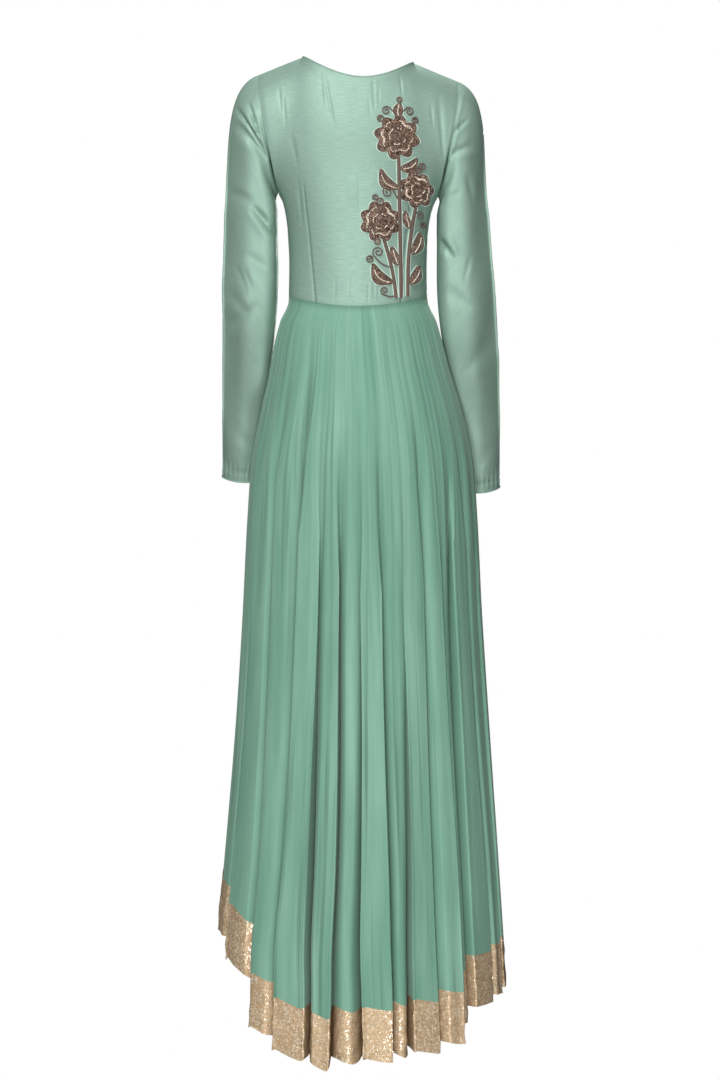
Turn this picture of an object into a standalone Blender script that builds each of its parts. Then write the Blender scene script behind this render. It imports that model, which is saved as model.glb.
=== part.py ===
"""Asymmetric long-sleeved gown: a fitted silk bodice, a gathered skirt with an uneven hem and its gold band.
Metres, +Z up. The origin is where the gown is held up, level with and between its two neck points.
Its back faces -Y and its front +Y, and its right side, as worn, is at +X."""

import math
from collections import namedtuple

import bpy
from mathutils import Vector
from mathutils.bvhtree import BVHTree

# Walls and seams
CLOTH = 0.0017
SEAM_GAP = 0.0003

# Bodice
UNDERARM_HEIGHT = -0.207
WAIST_SIDE_HEIGHT = -0.362
WAIST_DIP = {"back": 0.018, "front": 0.010}
SIDE_ROUNDNESS = 0.85
NECK_HALF_WIDTH = 0.084
NECK_DEPTH = {"back": 0.034, "front": 0.105}
NECK_REACH = {"back": 0.066, "front": 0.072}
NECK_SHARE = 0.62
NECK_CURVE = {"back": (1.9, 1.0), "front": (2.2, 0.72)}
BUST = 0.011
BUST_HEIGHT = -0.222
BUST_ACROSS = 0.42
BUST_SPREAD = (0.25, 0.055)
SHOULDER_TIP = Vector((0.152, 0.0, -0.028))
SHOULDER_TILT = 0.005
TILT_SPREAD = 0.060
STEADY_BELOW = -0.30
TILTED_ABOVE = -0.13

# Sleeves
SHOULDER_LEAVE = Vector((0.93, 0.0, -0.37))
UNDERARM_LEAVE = Vector((0.80, 0.0, -0.60))
CAP_LEAVE = 0.27
CAP_RISE = 0.45
SLEEVE_LEAN = {"left": 0.090, "right": 0.140}

# Skirt
BAND_WIDTH = 0.075
HEM_RADIUS = 0.21
HEM_STEP = 2.0
FOLD_FULLNESS = 3.5
WAIST_RIPPLE = 0.0016
RIPPLE_LENGTH = 0.030
FLARE_LENGTH = 0.035
FOLD_GROWTH = 0.62
FULL_FOLD = 0.022
FOLD_SQUARENESS = 0.10
VALLEY_NARROWING = 0.115
NECK_NARROWING = 0.060
VALLEY_LIFT = 0.010
SIDE_SEAM = 90.0

# Sampling
BODICE_ACROSS = 20
BODICE_LOW_ROWS = 4
SLEEVE_AROUND = 16
ARMHOLE_STEPS = SLEEVE_AROUND // 2
CAP_STEPS = (0.0, 0.14, 0.32, 0.54, 0.78)
SKIRT_STEPS = (0.0, 0.05, 0.12, 0.22, 0.35, 0.50, 0.67, 0.84, 1.0)
FOLD_STEPS = (0.0, 0.19, 0.34, 0.50, 0.66, 0.81)

TorsoSection = namedtuple("TorsoSection", "height half_width back front")
TORSO = [
    TorsoSection(-0.385, 0.1060, 0.089, 0.092),
    TorsoSection(-0.330, 0.1046, 0.090, 0.098),
    TorsoSection(-0.283, 0.1052, 0.093, 0.110),
    TorsoSection(-0.245, 0.1085, 0.097, 0.121),
    TorsoSection(-0.220, 0.1140, 0.100, 0.122),
    TorsoSection(-0.207, 0.1205, 0.102, 0.120),
]

# Where a panel's upright lines start at the underarm and end at the neck or shoulder. across is 0 in the
# panel's middle and 1 at the armhole; the rest are how far the line is pulled out, up, down and sideways.
Upright = namedtuple("Upright", "across low_out low_up low_side high_out high_down high_side")
UPRIGHTS = {
    "back": [
        Upright(0.00, 0.008, 0.060, 0.000, 0.022, 0.055, 0.000),
        Upright(0.31, 0.011, 0.062, 0.002, 0.030, 0.048, 0.002),
        Upright(0.62, 0.022, 0.070, 0.004, 0.056, 0.014, 0.004),
        Upright(0.80, 0.040, 0.058, 0.008, 0.062, 0.026, 0.002),
        Upright(1.00, 0.070, 0.030, 0.012, 0.070, 0.050, -0.002),
    ],
    "front": [
        Upright(0.00, 0.003, 0.034, 0.000, 0.020, 0.032, 0.000),
        Upright(0.31, 0.004, 0.040, 0.002, 0.028, 0.036, 0.000),
        Upright(0.62, 0.008, 0.062, 0.002, 0.058, 0.016, 0.000),
        Upright(0.80, 0.030, 0.052, 0.002, 0.060, 0.028, -0.006),
        Upright(1.00, 0.066, 0.028, 0.002, 0.062, 0.052, -0.012),
    ],
}

ArmSection = namedtuple("ArmSection", "height outer inner forward half_depth")
SLEEVES = {
    "left": [
        ArmSection(-0.236, 0.2035, 0.1215, 0.002, 0.052),
        ArmSection(-0.296, 0.2052, 0.1205, 0.004, 0.051),
        ArmSection(-0.350, 0.2062, 0.1212, 0.006, 0.049),
        ArmSection(-0.400, 0.2068, 0.1250, 0.016, 0.046),
        ArmSection(-0.450, 0.2078, 0.1310, 0.034, 0.043),
        ArmSection(-0.500, 0.2086, 0.1385, 0.054, 0.040),
        ArmSection(-0.550, 0.2092, 0.1445, 0.072, 0.037),
        ArmSection(-0.600, 0.2098, 0.1495, 0.089, 0.034),
        ArmSection(-0.632, 0.2105, 0.1525, 0.098, 0.032),
    ],
    "right": [
        ArmSection(-0.236, 0.1995, 0.1195, 0.002, 0.052),
        ArmSection(-0.296, 0.2038, 0.1195, 0.004, 0.051),
        ArmSection(-0.350, 0.2088, 0.1200, 0.006, 0.049),
        ArmSection(-0.400, 0.2122, 0.1245, 0.016, 0.046),
        ArmSection(-0.450, 0.2150, 0.1335, 0.034, 0.043),
        ArmSection(-0.500, 0.2172, 0.1425, 0.054, 0.040),
        ArmSection(-0.550, 0.2186, 0.1505, 0.072, 0.037),
        ArmSection(-0.600, 0.2192, 0.1570, 0.089, 0.034),
        ArmSection(-0.648, 0.2198, 0.1620, 0.103, 0.032),
    ],
}

SkirtSection = namedtuple("SkirtSection", "height half_width back front centre")
SKIRT = [
    SkirtSection(-0.350, 0.1065, 0.0890, 0.0915, 0.0000),
    SkirtSection(-0.385, 0.1155, 0.0970, 0.0965, 0.0005),
    SkirtSection(-0.430, 0.1280, 0.1110, 0.1030, 0.0010),
    SkirtSection(-0.474, 0.1375, 0.1260, 0.1080, 0.0030),
    SkirtSection(-0.532, 0.1530, 0.1430, 0.1140, 0.0055),
    SkirtSection(-0.603, 0.1675, 0.1570, 0.1200, 0.0065),
    SkirtSection(-0.690, 0.1745, 0.1630, 0.1280, 0.0070),
    SkirtSection(-0.851, 0.1825, 0.1680, 0.1420, 0.0070),
    SkirtSection(-1.034, 0.1940, 0.1780, 0.1600, 0.0070),
    SkirtSection(-1.216, 0.2085, 0.1930, 0.1800, 0.0060),
    SkirtSection(-1.330, 0.2185, 0.2030, 0.1900, 0.0040),
    SkirtSection(-1.398, 0.2215, 0.2080, 0.1970, 0.0050),
    SkirtSection(-1.520, 0.2280, 0.2170, 0.2060, 0.0050),
]

# The hem's height round the skirt: 0 degrees is the middle of the back, 90 the gown's right side
HemPoint = namedtuple("HemPoint", "angle height")
HEM = [
    HemPoint(-150, -1.108),
    HemPoint(-128, -1.132),
    HemPoint(-108, -1.210),
    HemPoint(-90, -1.292),
    HemPoint(-78, -1.318),
    HemPoint(-66, -1.331),
    HemPoint(-54, -1.384),
    HemPoint(-42, -1.452),
    HemPoint(-30, -1.482),
    HemPoint(-18, -1.497),
    HemPoint(-4, -1.491),
    HemPoint(10, -1.487),
    HemPoint(26, -1.479),
    HemPoint(38, -1.466),
    HemPoint(54, -1.424),
    HemPoint(69, -1.410),
    HemPoint(90, -1.398),
    HemPoint(125, -1.350),
    HemPoint(155, -1.255),
    HemPoint(182, -1.160),
]

# One row for each valley between two folds: its angle high up and at the hem, how far below the waist it
# starts to deepen, its depth at the hem, and how much the hem of the fold after it slants
Valley = namedtuple("Valley", "high_angle hem_angle start depth slant")
VALLEYS = [
    Valley(-90, -90, 0.26, 0.034, 0.004),
    Valley(-79, -80, 0.30, 0.030, 0.006),
    Valley(-67, -67, 0.20, 0.032, 0.006),
    Valley(-49, -48, 0.16, 0.042, 0.006),
    Valley(-32, -35, 0.06, 0.044, 0.007),
    Valley(-21, -23, 0.26, 0.038, 0.008),
    Valley(-11, -12, 0.10, 0.036, 0.010),
    Valley(-2, 1, 0.32, 0.040, 0.004),
    Valley(8, 11, 0.12, 0.036, 0.006),
    Valley(19, 21, 0.38, 0.037, 0.006),
    Valley(30, 31, 0.12, 0.044, 0.002),
    Valley(40, 42, 0.42, 0.028, -0.004),
    Valley(49, 51, 0.18, 0.040, -0.004),
    Valley(60, 63, 0.24, 0.036, -0.003),
    Valley(74, 75, 0.26, 0.036, 0.003),
    Valley(90, 90, 0.26, 0.034, 0.004),
    Valley(104, 103, 0.20, 0.038, -0.004),
    Valley(116, 118, 0.30, 0.034, 0.004),
    Valley(131, 131, 0.14, 0.042, -0.006),
    Valley(143, 144, 0.34, 0.032, 0.003),
    Valley(156, 157, 0.16, 0.040, -0.003),
    Valley(170, 169, 0.28, 0.036, 0.005),
    Valley(183, 184, 0.12, 0.042, -0.004),
    Valley(197, 196, 0.30, 0.034, 0.004),
    Valley(209, 211, 0.18, 0.040, -0.006),
    Valley(223, 222, 0.32, 0.034, 0.003),
    Valley(235, 236, 0.14, 0.040, -0.004),
    Valley(248, 247, 0.30, 0.034, 0.004),
    Valley(259, 259, 0.22, 0.036, 0.003),
]

# Embroidery on the back, in metres across from the middle of the back and up from the origin
Blossom = namedtuple("Blossom", "name across height radius petals turn")
BLOSSOMS = [
    Blossom("embroidered_blossom_top", 0.058, -0.128, 0.0275, 8, 12),
    Blossom("embroidered_blossom_side", 0.087, -0.205, 0.0215, 7, 30),
    Blossom("embroidered_blossom_low", 0.033, -0.254, 0.0245, 8, 0),
]
Leaf = namedtuple("Leaf", "name root_across root_height tip_across tip_height width bend")
LEAVES = [
    Leaf("embroidered_leaf_1", 0.0590, -0.205, 0.0335, -0.178, 0.0135, 0.20),
    Leaf("embroidered_leaf_2", 0.0640, -0.176, 0.0875, -0.160, 0.0120, -0.20),
    Leaf("embroidered_leaf_3", 0.0765, -0.262, 0.0700, -0.238, 0.0075, 0.05),
    Leaf("embroidered_leaf_4", 0.0815, -0.300, 0.0930, -0.268, 0.0115, -0.10),
    Leaf("embroidered_leaf_5", 0.0500, -0.345, 0.0220, -0.318, 0.0155, 0.20),
    Leaf("embroidered_leaf_6", 0.0785, -0.345, 0.0915, -0.318, 0.0115, -0.10),
    Leaf("embroidered_leaf_7", 0.0585, -0.318, 0.0500, -0.292, 0.0085, 0.0),
    Leaf("embroidered_bud", 0.0595, -0.097, 0.0620, -0.076, 0.0110, 0.05),
]
Stem = namedtuple("Stem", "name root_across root_height tip_across tip_height width bend")
STEMS = [
    Stem("embroidered_stem_top", 0.0645, -0.3670, 0.0605, -0.1580, 0.0036, 0.0),
    Stem("embroidered_stem_side", 0.0745, -0.3640, 0.0860, -0.2300, 0.0034, 0.030),
    Stem("embroidered_stem_low", 0.0570, -0.3675, 0.0385, -0.2810, 0.0034, -0.030),
]
EMBROIDERY_GAP = 0.0007
EMBROIDERY_RELIEF = 0.0012
EMBROIDERY_DOME = 0.0009
PETAL_NOTCH = 0.20
BLOSSOM_RINGS = (0.35, 0.70, 1.0)
SPOKES_PER_PETAL = 4
LEAF_ROWS = 8
LEAF_BLUNTNESS = 0.0005
LEAF_BELLY = 0.85
LEAF_FULLNESS = 0.8
STEM_ROWS = 18

# One cut piece: rows of points, whether each row is a ring, whether its faces are turned over, and how far
# its first and last rows stay back from the seam
Grid = namedtuple("Grid", "name rows closed flip first_gap last_gap")
SHARPEST_CORNER = 0.5
SHARP_EDGE = 50.0

# Colours
MINT_SILK = (0.42, 0.60, 0.51, 1.0)
SEA_GREEN_GEORGETTE = (0.25, 0.46, 0.36, 1.0)
GOLD_TISSUE = (0.62, 0.47, 0.29, 1.0)
BROWN_THREAD = (0.16, 0.10, 0.075, 1.0)


def ease(share):
    """A share from 0 to 1, made smooth at both ends."""
    share = min(1.0, max(0.0, share))
    return share * share * (3 - 2 * share)


def read(table, column, at):
    """A column's value where the table's first column equals at, on a smooth curve through its rows."""
    rows = sorted(table, key=lambda row: row[0])
    keys = [row[0] for row in rows]
    values = [getattr(row, column) for row in rows]
    if at <= keys[0]:
        return values[0]
    if at >= keys[-1]:
        return values[-1]
    i = max(k for k in range(len(keys) - 1) if keys[k] <= at)

    def slope(k):
        low, high = max(k - 1, 0), min(k + 1, len(keys) - 1)
        return (values[high] - values[low]) / (keys[high] - keys[low])

    span = keys[i + 1] - keys[i]
    t = (at - keys[i]) / span
    return (
        (2 * t**3 - 3 * t**2 + 1) * values[i]
        + (t**3 - 2 * t**2 + t) * span * slope(i)
        + (3 * t**2 - 2 * t**3) * values[i + 1]
        + (t**3 - t**2) * span * slope(i + 1)
    )


def bezier(start, near_start, near_end, end, t):
    s = 1 - t
    return s**3 * start + 3 * s * s * t * near_start + 3 * s * t * t * near_end + t**3 * end


def posed(point):
    """The point once the gown's left shoulder is held a little higher than the right one."""
    share = ease((point.z - STEADY_BELOW) / (TILTED_ABOVE - STEADY_BELOW))
    moved = point.copy()
    moved.z -= SHOULDER_TILT * math.tanh(point.x / TILT_SPREAD) * share
    return moved


def waist_height(side, across):
    return WAIST_SIDE_HEIGHT - WAIST_DIP[side] * math.cos(math.radians(90 * across)) ** 2


def torso_point(side, across, height):
    """A point of the fitted part below the underarm; across runs from -1 to 1 between the side seams."""
    angle = math.radians(90 * across)
    out = -1 if side == "back" else 1
    depth = read(TORSO, side, height) * max(0.0, math.cos(angle)) ** SIDE_ROUNDNESS
    if side == "front":
        aside = (abs(across) - BUST_ACROSS) / BUST_SPREAD[0]
        above = (height - BUST_HEIGHT) / BUST_SPREAD[1]
        depth += BUST * math.exp(-aside * aside - above * above)
    return Vector((read(TORSO, "half_width", height) * math.sin(angle), out * depth, height))


def top_edge(side, across):
    """The panel's top edge: the neckline in the middle, then the shoulder seam to its tip."""
    out = -1 if side == "back" else 1
    share = abs(across)
    if share >= NECK_SHARE:
        neck_point = Vector((NECK_HALF_WIDTH, 0.0, 0.0))
        point = neck_point.lerp(SHOULDER_TIP, (share - NECK_SHARE) / (1 - NECK_SHARE))
    else:
        angle = math.radians(90 * share / NECK_SHARE)
        x = NECK_HALF_WIDTH * math.sin(angle)
        power, fullness = NECK_CURVE[side]
        drop = NECK_DEPTH[side] * max(0.0, 1 - (x / NECK_HALF_WIDTH) ** power) ** fullness
        point = Vector((x, out * NECK_REACH[side] * math.cos(angle), -drop))
    point.x = math.copysign(point.x, across)
    return point


def yoke_point(side, across, t):
    """A point above the underarm, on the upright line that starts at across; t is 0 there and 1 on top."""
    out = -1 if side == "back" else 1
    aside = math.copysign(1, across)

    def pull(name):
        return read(UPRIGHTS[side], name, abs(across))

    low = torso_point(side, across, UNDERARM_HEIGHT)
    top = top_edge(side, across)
    near_low = low + Vector((aside * pull("low_side"), out * pull("low_out"), pull("low_up")))
    near_top = top + Vector((aside * pull("high_side"), out * pull("high_out"), -pull("high_down")))
    return bezier(low, near_low, near_top, top, t)


def bodice_rows(side):
    """Rows from the waist up, each from the gown's left side to its right."""
    columns = [2 * i / BODICE_ACROSS - 1 for i in range(BODICE_ACROSS + 1)]
    neck_column = round(BODICE_ACROSS * (1 - NECK_SHARE) / 2)
    columns[neck_column] = -NECK_SHARE
    columns[-1 - neck_column] = NECK_SHARE
    rows = []
    for i in range(BODICE_LOW_ROWS):
        share = i / BODICE_LOW_ROWS
        row = []
        for across in columns:
            low = waist_height(side, across)
            row.append(torso_point(side, across, low + share * (UNDERARM_HEIGHT - low)))
        rows.append(row)
    for i in range(ARMHOLE_STEPS + 1):
        rows.append([yoke_point(side, across, i / ARMHOLE_STEPS) for across in columns])
    return [[posed(point) for point in row] for row in rows]


def armhole(aside):
    """The armhole's loop: from the underarm up the back to the shoulder tip, then down the front."""
    steps = [i / ARMHOLE_STEPS for i in range(ARMHOLE_STEPS + 1)]
    loop = [yoke_point("back", aside, t) for t in steps]
    return loop + [yoke_point("front", aside, t) for t in steps[-2:0:-1]]


def sleeve_rows(name):
    """Rings from the armhole to the cuff."""
    aside = -1 if name == "left" else 1
    sections = SLEEVES[name]

    def centre(section):
        return Vector((aside * (section.outer + section.inner) / 2, section.forward, section.height))

    def ring(k):
        section = sections[k]
        before, after = sections[max(k - 1, 0)], sections[min(k + 1, len(sections) - 1)]
        down = (centre(after) - centre(before)).normalized()
        inward = Vector((-aside, 0.0, 0.0))
        inward = (inward - inward.dot(down) * down).normalized()
        back = aside * inward.cross(down)
        half_width = (section.outer - section.inner) / 2
        points = []
        for i in range(SLEEVE_AROUND):
            turn = 2 * math.pi * i / SLEEVE_AROUND
            sideways = half_width * math.cos(turn) * inward
            points.append(centre(section) + sideways + section.half_depth * math.sin(turn) * back)
        return points

    start, arm = armhole(aside), ring(0)
    rows = []
    for t in CAP_STEPS:
        row = []
        for i, (high, low) in enumerate(zip(start, arm)):
            over = (1 - math.cos(2 * math.pi * i / SLEEVE_AROUND)) / 2
            leave = UNDERARM_LEAVE.lerp(SHOULDER_LEAVE, over).normalized()
            leave.x *= aside
            reach = (low - high).length
            rise = CAP_RISE * reach * Vector((-aside * SLEEVE_LEAN[name] * over, 0.0, 1.0))
            row.append(bezier(high, high + CAP_LEAVE * reach * leave, low + rise, low, t))
        rows.append(row)
    rows += [ring(k) for k in range(len(sections))]
    return [[posed(point) for point in row] for row in rows]


def panel_place(turn):
    """Which panel of the bodice an angle round the waist falls on, and how far across it."""
    return "back" if math.cos(turn) >= 0 else "front", math.degrees(math.asin(math.sin(turn))) / 90


def turned(row, angle):
    return row._replace(angle=row.angle + angle)


def hem_height(angle):
    """The hem's height at an angle, on a curve that closes on itself after a full turn."""
    first = HEM[0].angle
    wrapped = [turned(HEM[-1], -360), *HEM, turned(HEM[0], 360), turned(HEM[1], 360)]
    return read(wrapped, "height", (angle - first) % 360 + first)


def band_top(angle):
    """The height of the gold band's upper edge, a band's width above the slanting hem."""
    climb = hem_height(angle + HEM_STEP) - hem_height(angle - HEM_STEP)
    run = math.radians(2 * HEM_STEP) * HEM_RADIUS * FOLD_FULLNESS
    return hem_height(angle) + BAND_WIDTH * math.hypot(1, climb / run)


def fold_columns(first, last):
    """(valley number, share of the fold after it) for the skirt's columns between two valleys."""
    columns = [(k, u) for k in range(first, last) for u in FOLD_STEPS]
    return columns + [(last, 0.0)]


def skirt_point(number, share, down, in_band=0.0):
    """A point of the skirt: share runs over one fold, down from the waist to the band, in_band to the hem."""
    count = len(VALLEYS)
    here, after = VALLEYS[number % count], VALLEYS[(number + 1) % count]
    turns = 360 * (number // count)
    wrap = 360 if number % count == count - 1 else 0

    def between(low, high):
        return low + share * (high - low)

    high_angle = between(here.high_angle, after.high_angle + wrap) + turns
    hem_angle = between(here.hem_angle, after.hem_angle + wrap) + turns
    waist = waist_height(*panel_place(math.radians(high_angle)))
    cloth_end = band_top(hem_angle)
    hem = hem_height(hem_angle)
    height = waist + down * (cloth_end - waist) + in_band * (hem - cloth_end)
    drop = waist - height
    angle = high_angle + ease(drop / (waist - hem)) * (hem_angle - high_angle)
    width_of_fold = math.radians(after.hem_angle + wrap - here.hem_angle)

    valley = here if share < 0.5 else after
    grown = ease((drop - valley.start) / FOLD_GROWTH)
    depth = WAIST_RIPPLE * ease(drop / RIPPLE_LENGTH) + (valley.depth - WAIST_RIPPLE) * grown
    opened = min(1.0, depth / FULL_FOLD)
    wave = 2 * math.pi * share
    inward = (1 + (1 + FOLD_SQUARENESS) * math.cos(wave) - FOLD_SQUARENESS * math.cos(3 * wave)) / 2
    sideways = NECK_NARROWING * math.sin(2 * wave) - VALLEY_NARROWING * math.sin(wave)
    turn = math.radians(angle) + opened * sideways * width_of_fold

    half_width = read(SKIRT, "half_width", height)
    side, across = panel_place(turn)
    reach = read(SKIRT, side, height)
    outward = Vector((math.sin(turn) / half_width, -math.cos(turn) / reach, 0.0)).normalized()
    flared = Vector((half_width * math.sin(turn), -reach * math.cos(turn), height))
    sewn = torso_point(side, across, waist)
    sewn.z = height
    crest = sewn.lerp(flared, ease(drop / FLARE_LENGTH))
    point = crest - depth * inward * outward
    point.x += read(SKIRT, "centre", height)
    point.z += opened * down * (VALLEY_LIFT * inward + here.slant * math.sin(wave))
    return point


def skirt_rows(first, last):
    columns = fold_columns(first, last)
    return [[skirt_point(k, u, down) for k, u in columns] for down in SKIRT_STEPS]


def band_rows(first, last):
    columns = fold_columns(first, last)
    return [[skirt_point(k, u, 1.0, in_band) for k, u in columns] for in_band in (0.0, 1.0)]


def off_the_seam(edge, inner, gap, closed):
    """For each point of a sewn edge, a step of that length off the seam, square to it within the cloth."""
    steps = []
    last = len(edge) - 1
    for i, (point, other) in enumerate(zip(edge, inner)):
        before = edge[i - 1] if closed or i > 0 else point
        after = edge[(i + 1) % len(edge)] if closed or i < last else point
        along = (after - before).normalized()
        inward = other - point
        inward -= inward.dot(along) * along
        steps.append(gap * inward.normalized())
    return steps


def trimmed(grid):
    """The piece's rows, with its side edges and its sewn first and last rows drawn in from the seam."""
    rows = [[point.copy() for point in row] for row in grid.rows]
    for gap, end, inner in ((grid.first_gap, 0, 1), (grid.last_gap, -1, -2)):
        steps = off_the_seam(grid.rows[end], grid.rows[inner], gap, grid.closed)
        for point, step in zip(rows[end], steps):
            point += step
    if not grid.closed:
        columns = list(zip(*grid.rows))
        for end, inner in ((0, 1), (-1, -2)):
            steps = off_the_seam(columns[end], columns[inner], SEAM_GAP / 2, False)
            for row, step in zip(rows, steps):
                row[end] += step
    return rows


def material(name, colour, roughness, metallic=0.0):
    made = bpy.data.materials.new(name)
    made.use_nodes = True
    shader = made.node_tree.nodes["Principled BSDF"]
    shader.inputs["Base Color"].default_value = colour
    shader.inputs["Roughness"].default_value = roughness
    shader.inputs["Metallic"].default_value = metallic
    return made


def grid_faces(rows, across, closed=False):
    """Quads between neighbouring rows, as point numbers."""
    faces = []
    for r in range(rows - 1):
        for c in range(across if closed else across - 1):
            after = (c + 1) % across
            faces.append((r * across + c, r * across + after, (r + 1) * across + after, (r + 1) * across + c))
    return faces


def grid_triangles(rows, closed=False):
    """The same quads, each cut in two along its shorter diagonal."""
    points = [point for row in rows for point in row]
    triangles = []
    for a, b, c, d in grid_faces(len(rows), len(rows[0]), closed):
        if (points[a] - points[c]).length <= (points[b] - points[d]).length:
            triangles += [(a, b, c), (a, c, d)]
        else:
            triangles += [(a, b, d), (b, c, d)]
    return triangles


def key(point):
    """A point's place to the nearest hundredth of a millimetre, the same for all pieces that meet there."""
    return tuple(round(value, 5) for value in point)


def face_normal(points):
    return (points[2] - points[0]).cross(points[3] - points[1]).normalized()


def add_normals(sums, grid):
    points = [point for row in grid.rows for point in row]
    for face in grid_faces(len(grid.rows), len(grid.rows[0]), grid.closed):
        corners = [points[i] for i in face]
        normal = face_normal(corners) * (-1 if grid.flip else 1)
        for corner in corners:
            total, count = sums.get(key(corner), (Vector(), 0))
            sums[key(corner)] = (total + normal, count + 1)


def wall_offset(sums, point):
    """How far the wall's inner face lies from its outer face here, for one metre of thickness."""
    total, count = sums[key(point)]
    mean = total / count
    return -mean / max(mean.length_squared, SHARPEST_CORNER)


def closed_wall(grid, outer, inner):
    """Points and faces of a wall between two grids, with rims along its open edges."""
    across = len(outer[0])
    size = across * len(outer)
    points = [point for rows in (outer, inner) for row in rows for point in row]
    front = grid_triangles(outer, grid.closed)
    faces = front + [tuple(i + size for i in reversed(face)) for face in front]
    last = size - across
    for c in range(across if grid.closed else across - 1):
        after = (c + 1) % across
        faces.append((c, c + size, after + size, after))
        faces.append((last + c, last + after, last + after + size, last + c + size))
    if not grid.closed:
        for r in range(0, last, across):
            end = r + across - 1
            faces.append((r, r + across, r + across + size, r + size))
            faces.append((end + across, end, end + size, end + across + size))
    if grid.flip:
        faces = [face[::-1] for face in faces]
    return points, faces


def add_object(name, points, faces, finish):
    mesh = bpy.data.meshes.new(name)
    mesh.from_pydata(points, [], faces)
    mesh.update()
    mesh.shade_smooth()
    mesh.set_sharp_from_angle(angle=math.radians(SHARP_EDGE))
    mesh.materials.append(finish)
    piece = bpy.data.objects.new(name, mesh)
    bpy.context.scene.collection.objects.link(piece)
    return piece


def add_cloth(grid, sums, finish):
    """One cut piece: its edges drawn in from the seams, its wall laid on the inside."""
    offsets = [[wall_offset(sums, point) * CLOTH for point in row] for row in grid.rows]
    outer = trimmed(grid)
    inner = [[p + o for p, o in zip(row, moves)] for row, moves in zip(outer, offsets)]
    points, faces = closed_wall(grid, outer, inner)
    return add_object(grid.name, points, faces, finish)


def surface_of(rows):
    """The panel's outer face, to lay embroidery on."""
    points = [point for row in rows for point in row]
    return BVHTree.FromPolygons(points, grid_triangles(rows))


def laid(surface, across, height, clearance):
    """The point that far above the back panel's outer face, seen straight from behind."""
    hit, normal, _, _ = surface.ray_cast(Vector((across, -1.0, height)), Vector((0.0, 1.0, 0.0)))
    if normal.y > 0:
        normal = -normal
    return hit + normal * clearance


def raised_shape(name, surface, flat, faces, finish):
    """Embroidery on the panel, from flat (across, height, fullness) points, thickest at fullness 1."""
    reliefs = [EMBROIDERY_RELIEF + EMBROIDERY_DOME * full for _, _, full in flat]
    top = [laid(surface, x, z, EMBROIDERY_GAP + relief) for (x, z, _), relief in zip(flat, reliefs)]
    bottom = [laid(surface, x, z, EMBROIDERY_GAP) for x, z, _ in flat]
    size = len(flat)
    walls = faces + [tuple(i + size for i in reversed(face)) for face in faces]
    edges = {(face[i - 1], face[i]) for face in faces for i in range(len(face))}
    for a, b in sorted(edges):
        if (b, a) not in edges:
            walls.append((b, a, a + size, b + size))
    return add_object(name, top + bottom, walls, finish)


def blossom(flower, surface, finish):
    """A round flower with a notched edge, built from rings about its middle."""
    spokes = flower.petals * SPOKES_PER_PETAL
    flat = [(flower.across, flower.height, 1.0)]
    for ring in BLOSSOM_RINGS:
        for i in range(spokes):
            turn = 2 * math.pi * i / spokes
            petal = abs(math.sin(flower.petals * turn / 2))
            radius = flower.radius * ring * (1 - PETAL_NOTCH * ring * (1 - petal))
            turn += math.radians(flower.turn)
            x = flower.across + radius * math.cos(turn)
            flat.append((x, flower.height + radius * math.sin(turn), petal * (1 - ring)))
    faces = [(0, 1 + i, 1 + (i + 1) % spokes) for i in range(spokes)]
    for ring in range(len(BLOSSOM_RINGS) - 1):
        low, high = 1 + ring * spokes, 1 + (ring + 1) * spokes
        for i in range(spokes):
            after = (i + 1) % spokes
            faces.append((low + i, high + i, high + after, low + after))
    raised_shape(flower.name, surface, flat, faces, finish)


def strip(form, half_widths, surface, finish):
    """A bent strip from the form's root to its tip, with a half width at each row."""
    root = Vector((form.root_across, form.root_height))
    along = Vector((form.tip_across, form.tip_height)) - root
    aside = Vector((-along.y, along.x))
    flat = []
    for i, half in enumerate(half_widths):
        share = i / (len(half_widths) - 1)
        middle = root + share * along + form.bend * math.sin(math.pi * share) * aside
        edge = aside.normalized() * half
        flat += [(*(middle + edge), 0.0), (*middle, 1.0), (*(middle - edge), 0.0)]
    raised_shape(form.name, surface, flat, grid_faces(len(half_widths), 3), finish)


def leaf_half_widths(form):
    """Widest before the middle, and blunt at both ends."""
    shares = [(i / (LEAF_ROWS - 1)) ** LEAF_BELLY for i in range(LEAF_ROWS)]
    return [LEAF_BLUNTNESS + form.width / 2 * math.sin(math.pi * share) ** LEAF_FULLNESS for share in shares]


def cloth_pieces():
    """Every cut piece as a grid, in one order: bodice, sleeves, skirt, gold band."""
    seam = SEAM_GAP / 2
    pieces = [
        Grid("bodice_back", bodice_rows("back"), False, False, 0.0, seam),
        Grid("bodice_front", bodice_rows("front"), False, True, 0.0, seam),
        Grid("sleeve_left", sleeve_rows("left"), True, False, SEAM_GAP, 0.0),
        Grid("sleeve_right", sleeve_rows("right"), True, True, SEAM_GAP, 0.0),
    ]
    right_seam = [row.hem_angle for row in VALLEYS].index(SIDE_SEAM)
    for side, first, last in (("back", 0, right_seam), ("front", right_seam, len(VALLEYS))):
        pieces.append(Grid("skirt_" + side, skirt_rows(first, last), False, True, SEAM_GAP, 0.0))
        pieces.append(Grid("gold_band_" + side, band_rows(first, last), False, True, SEAM_GAP, 0.0))
    return pieces


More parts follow.
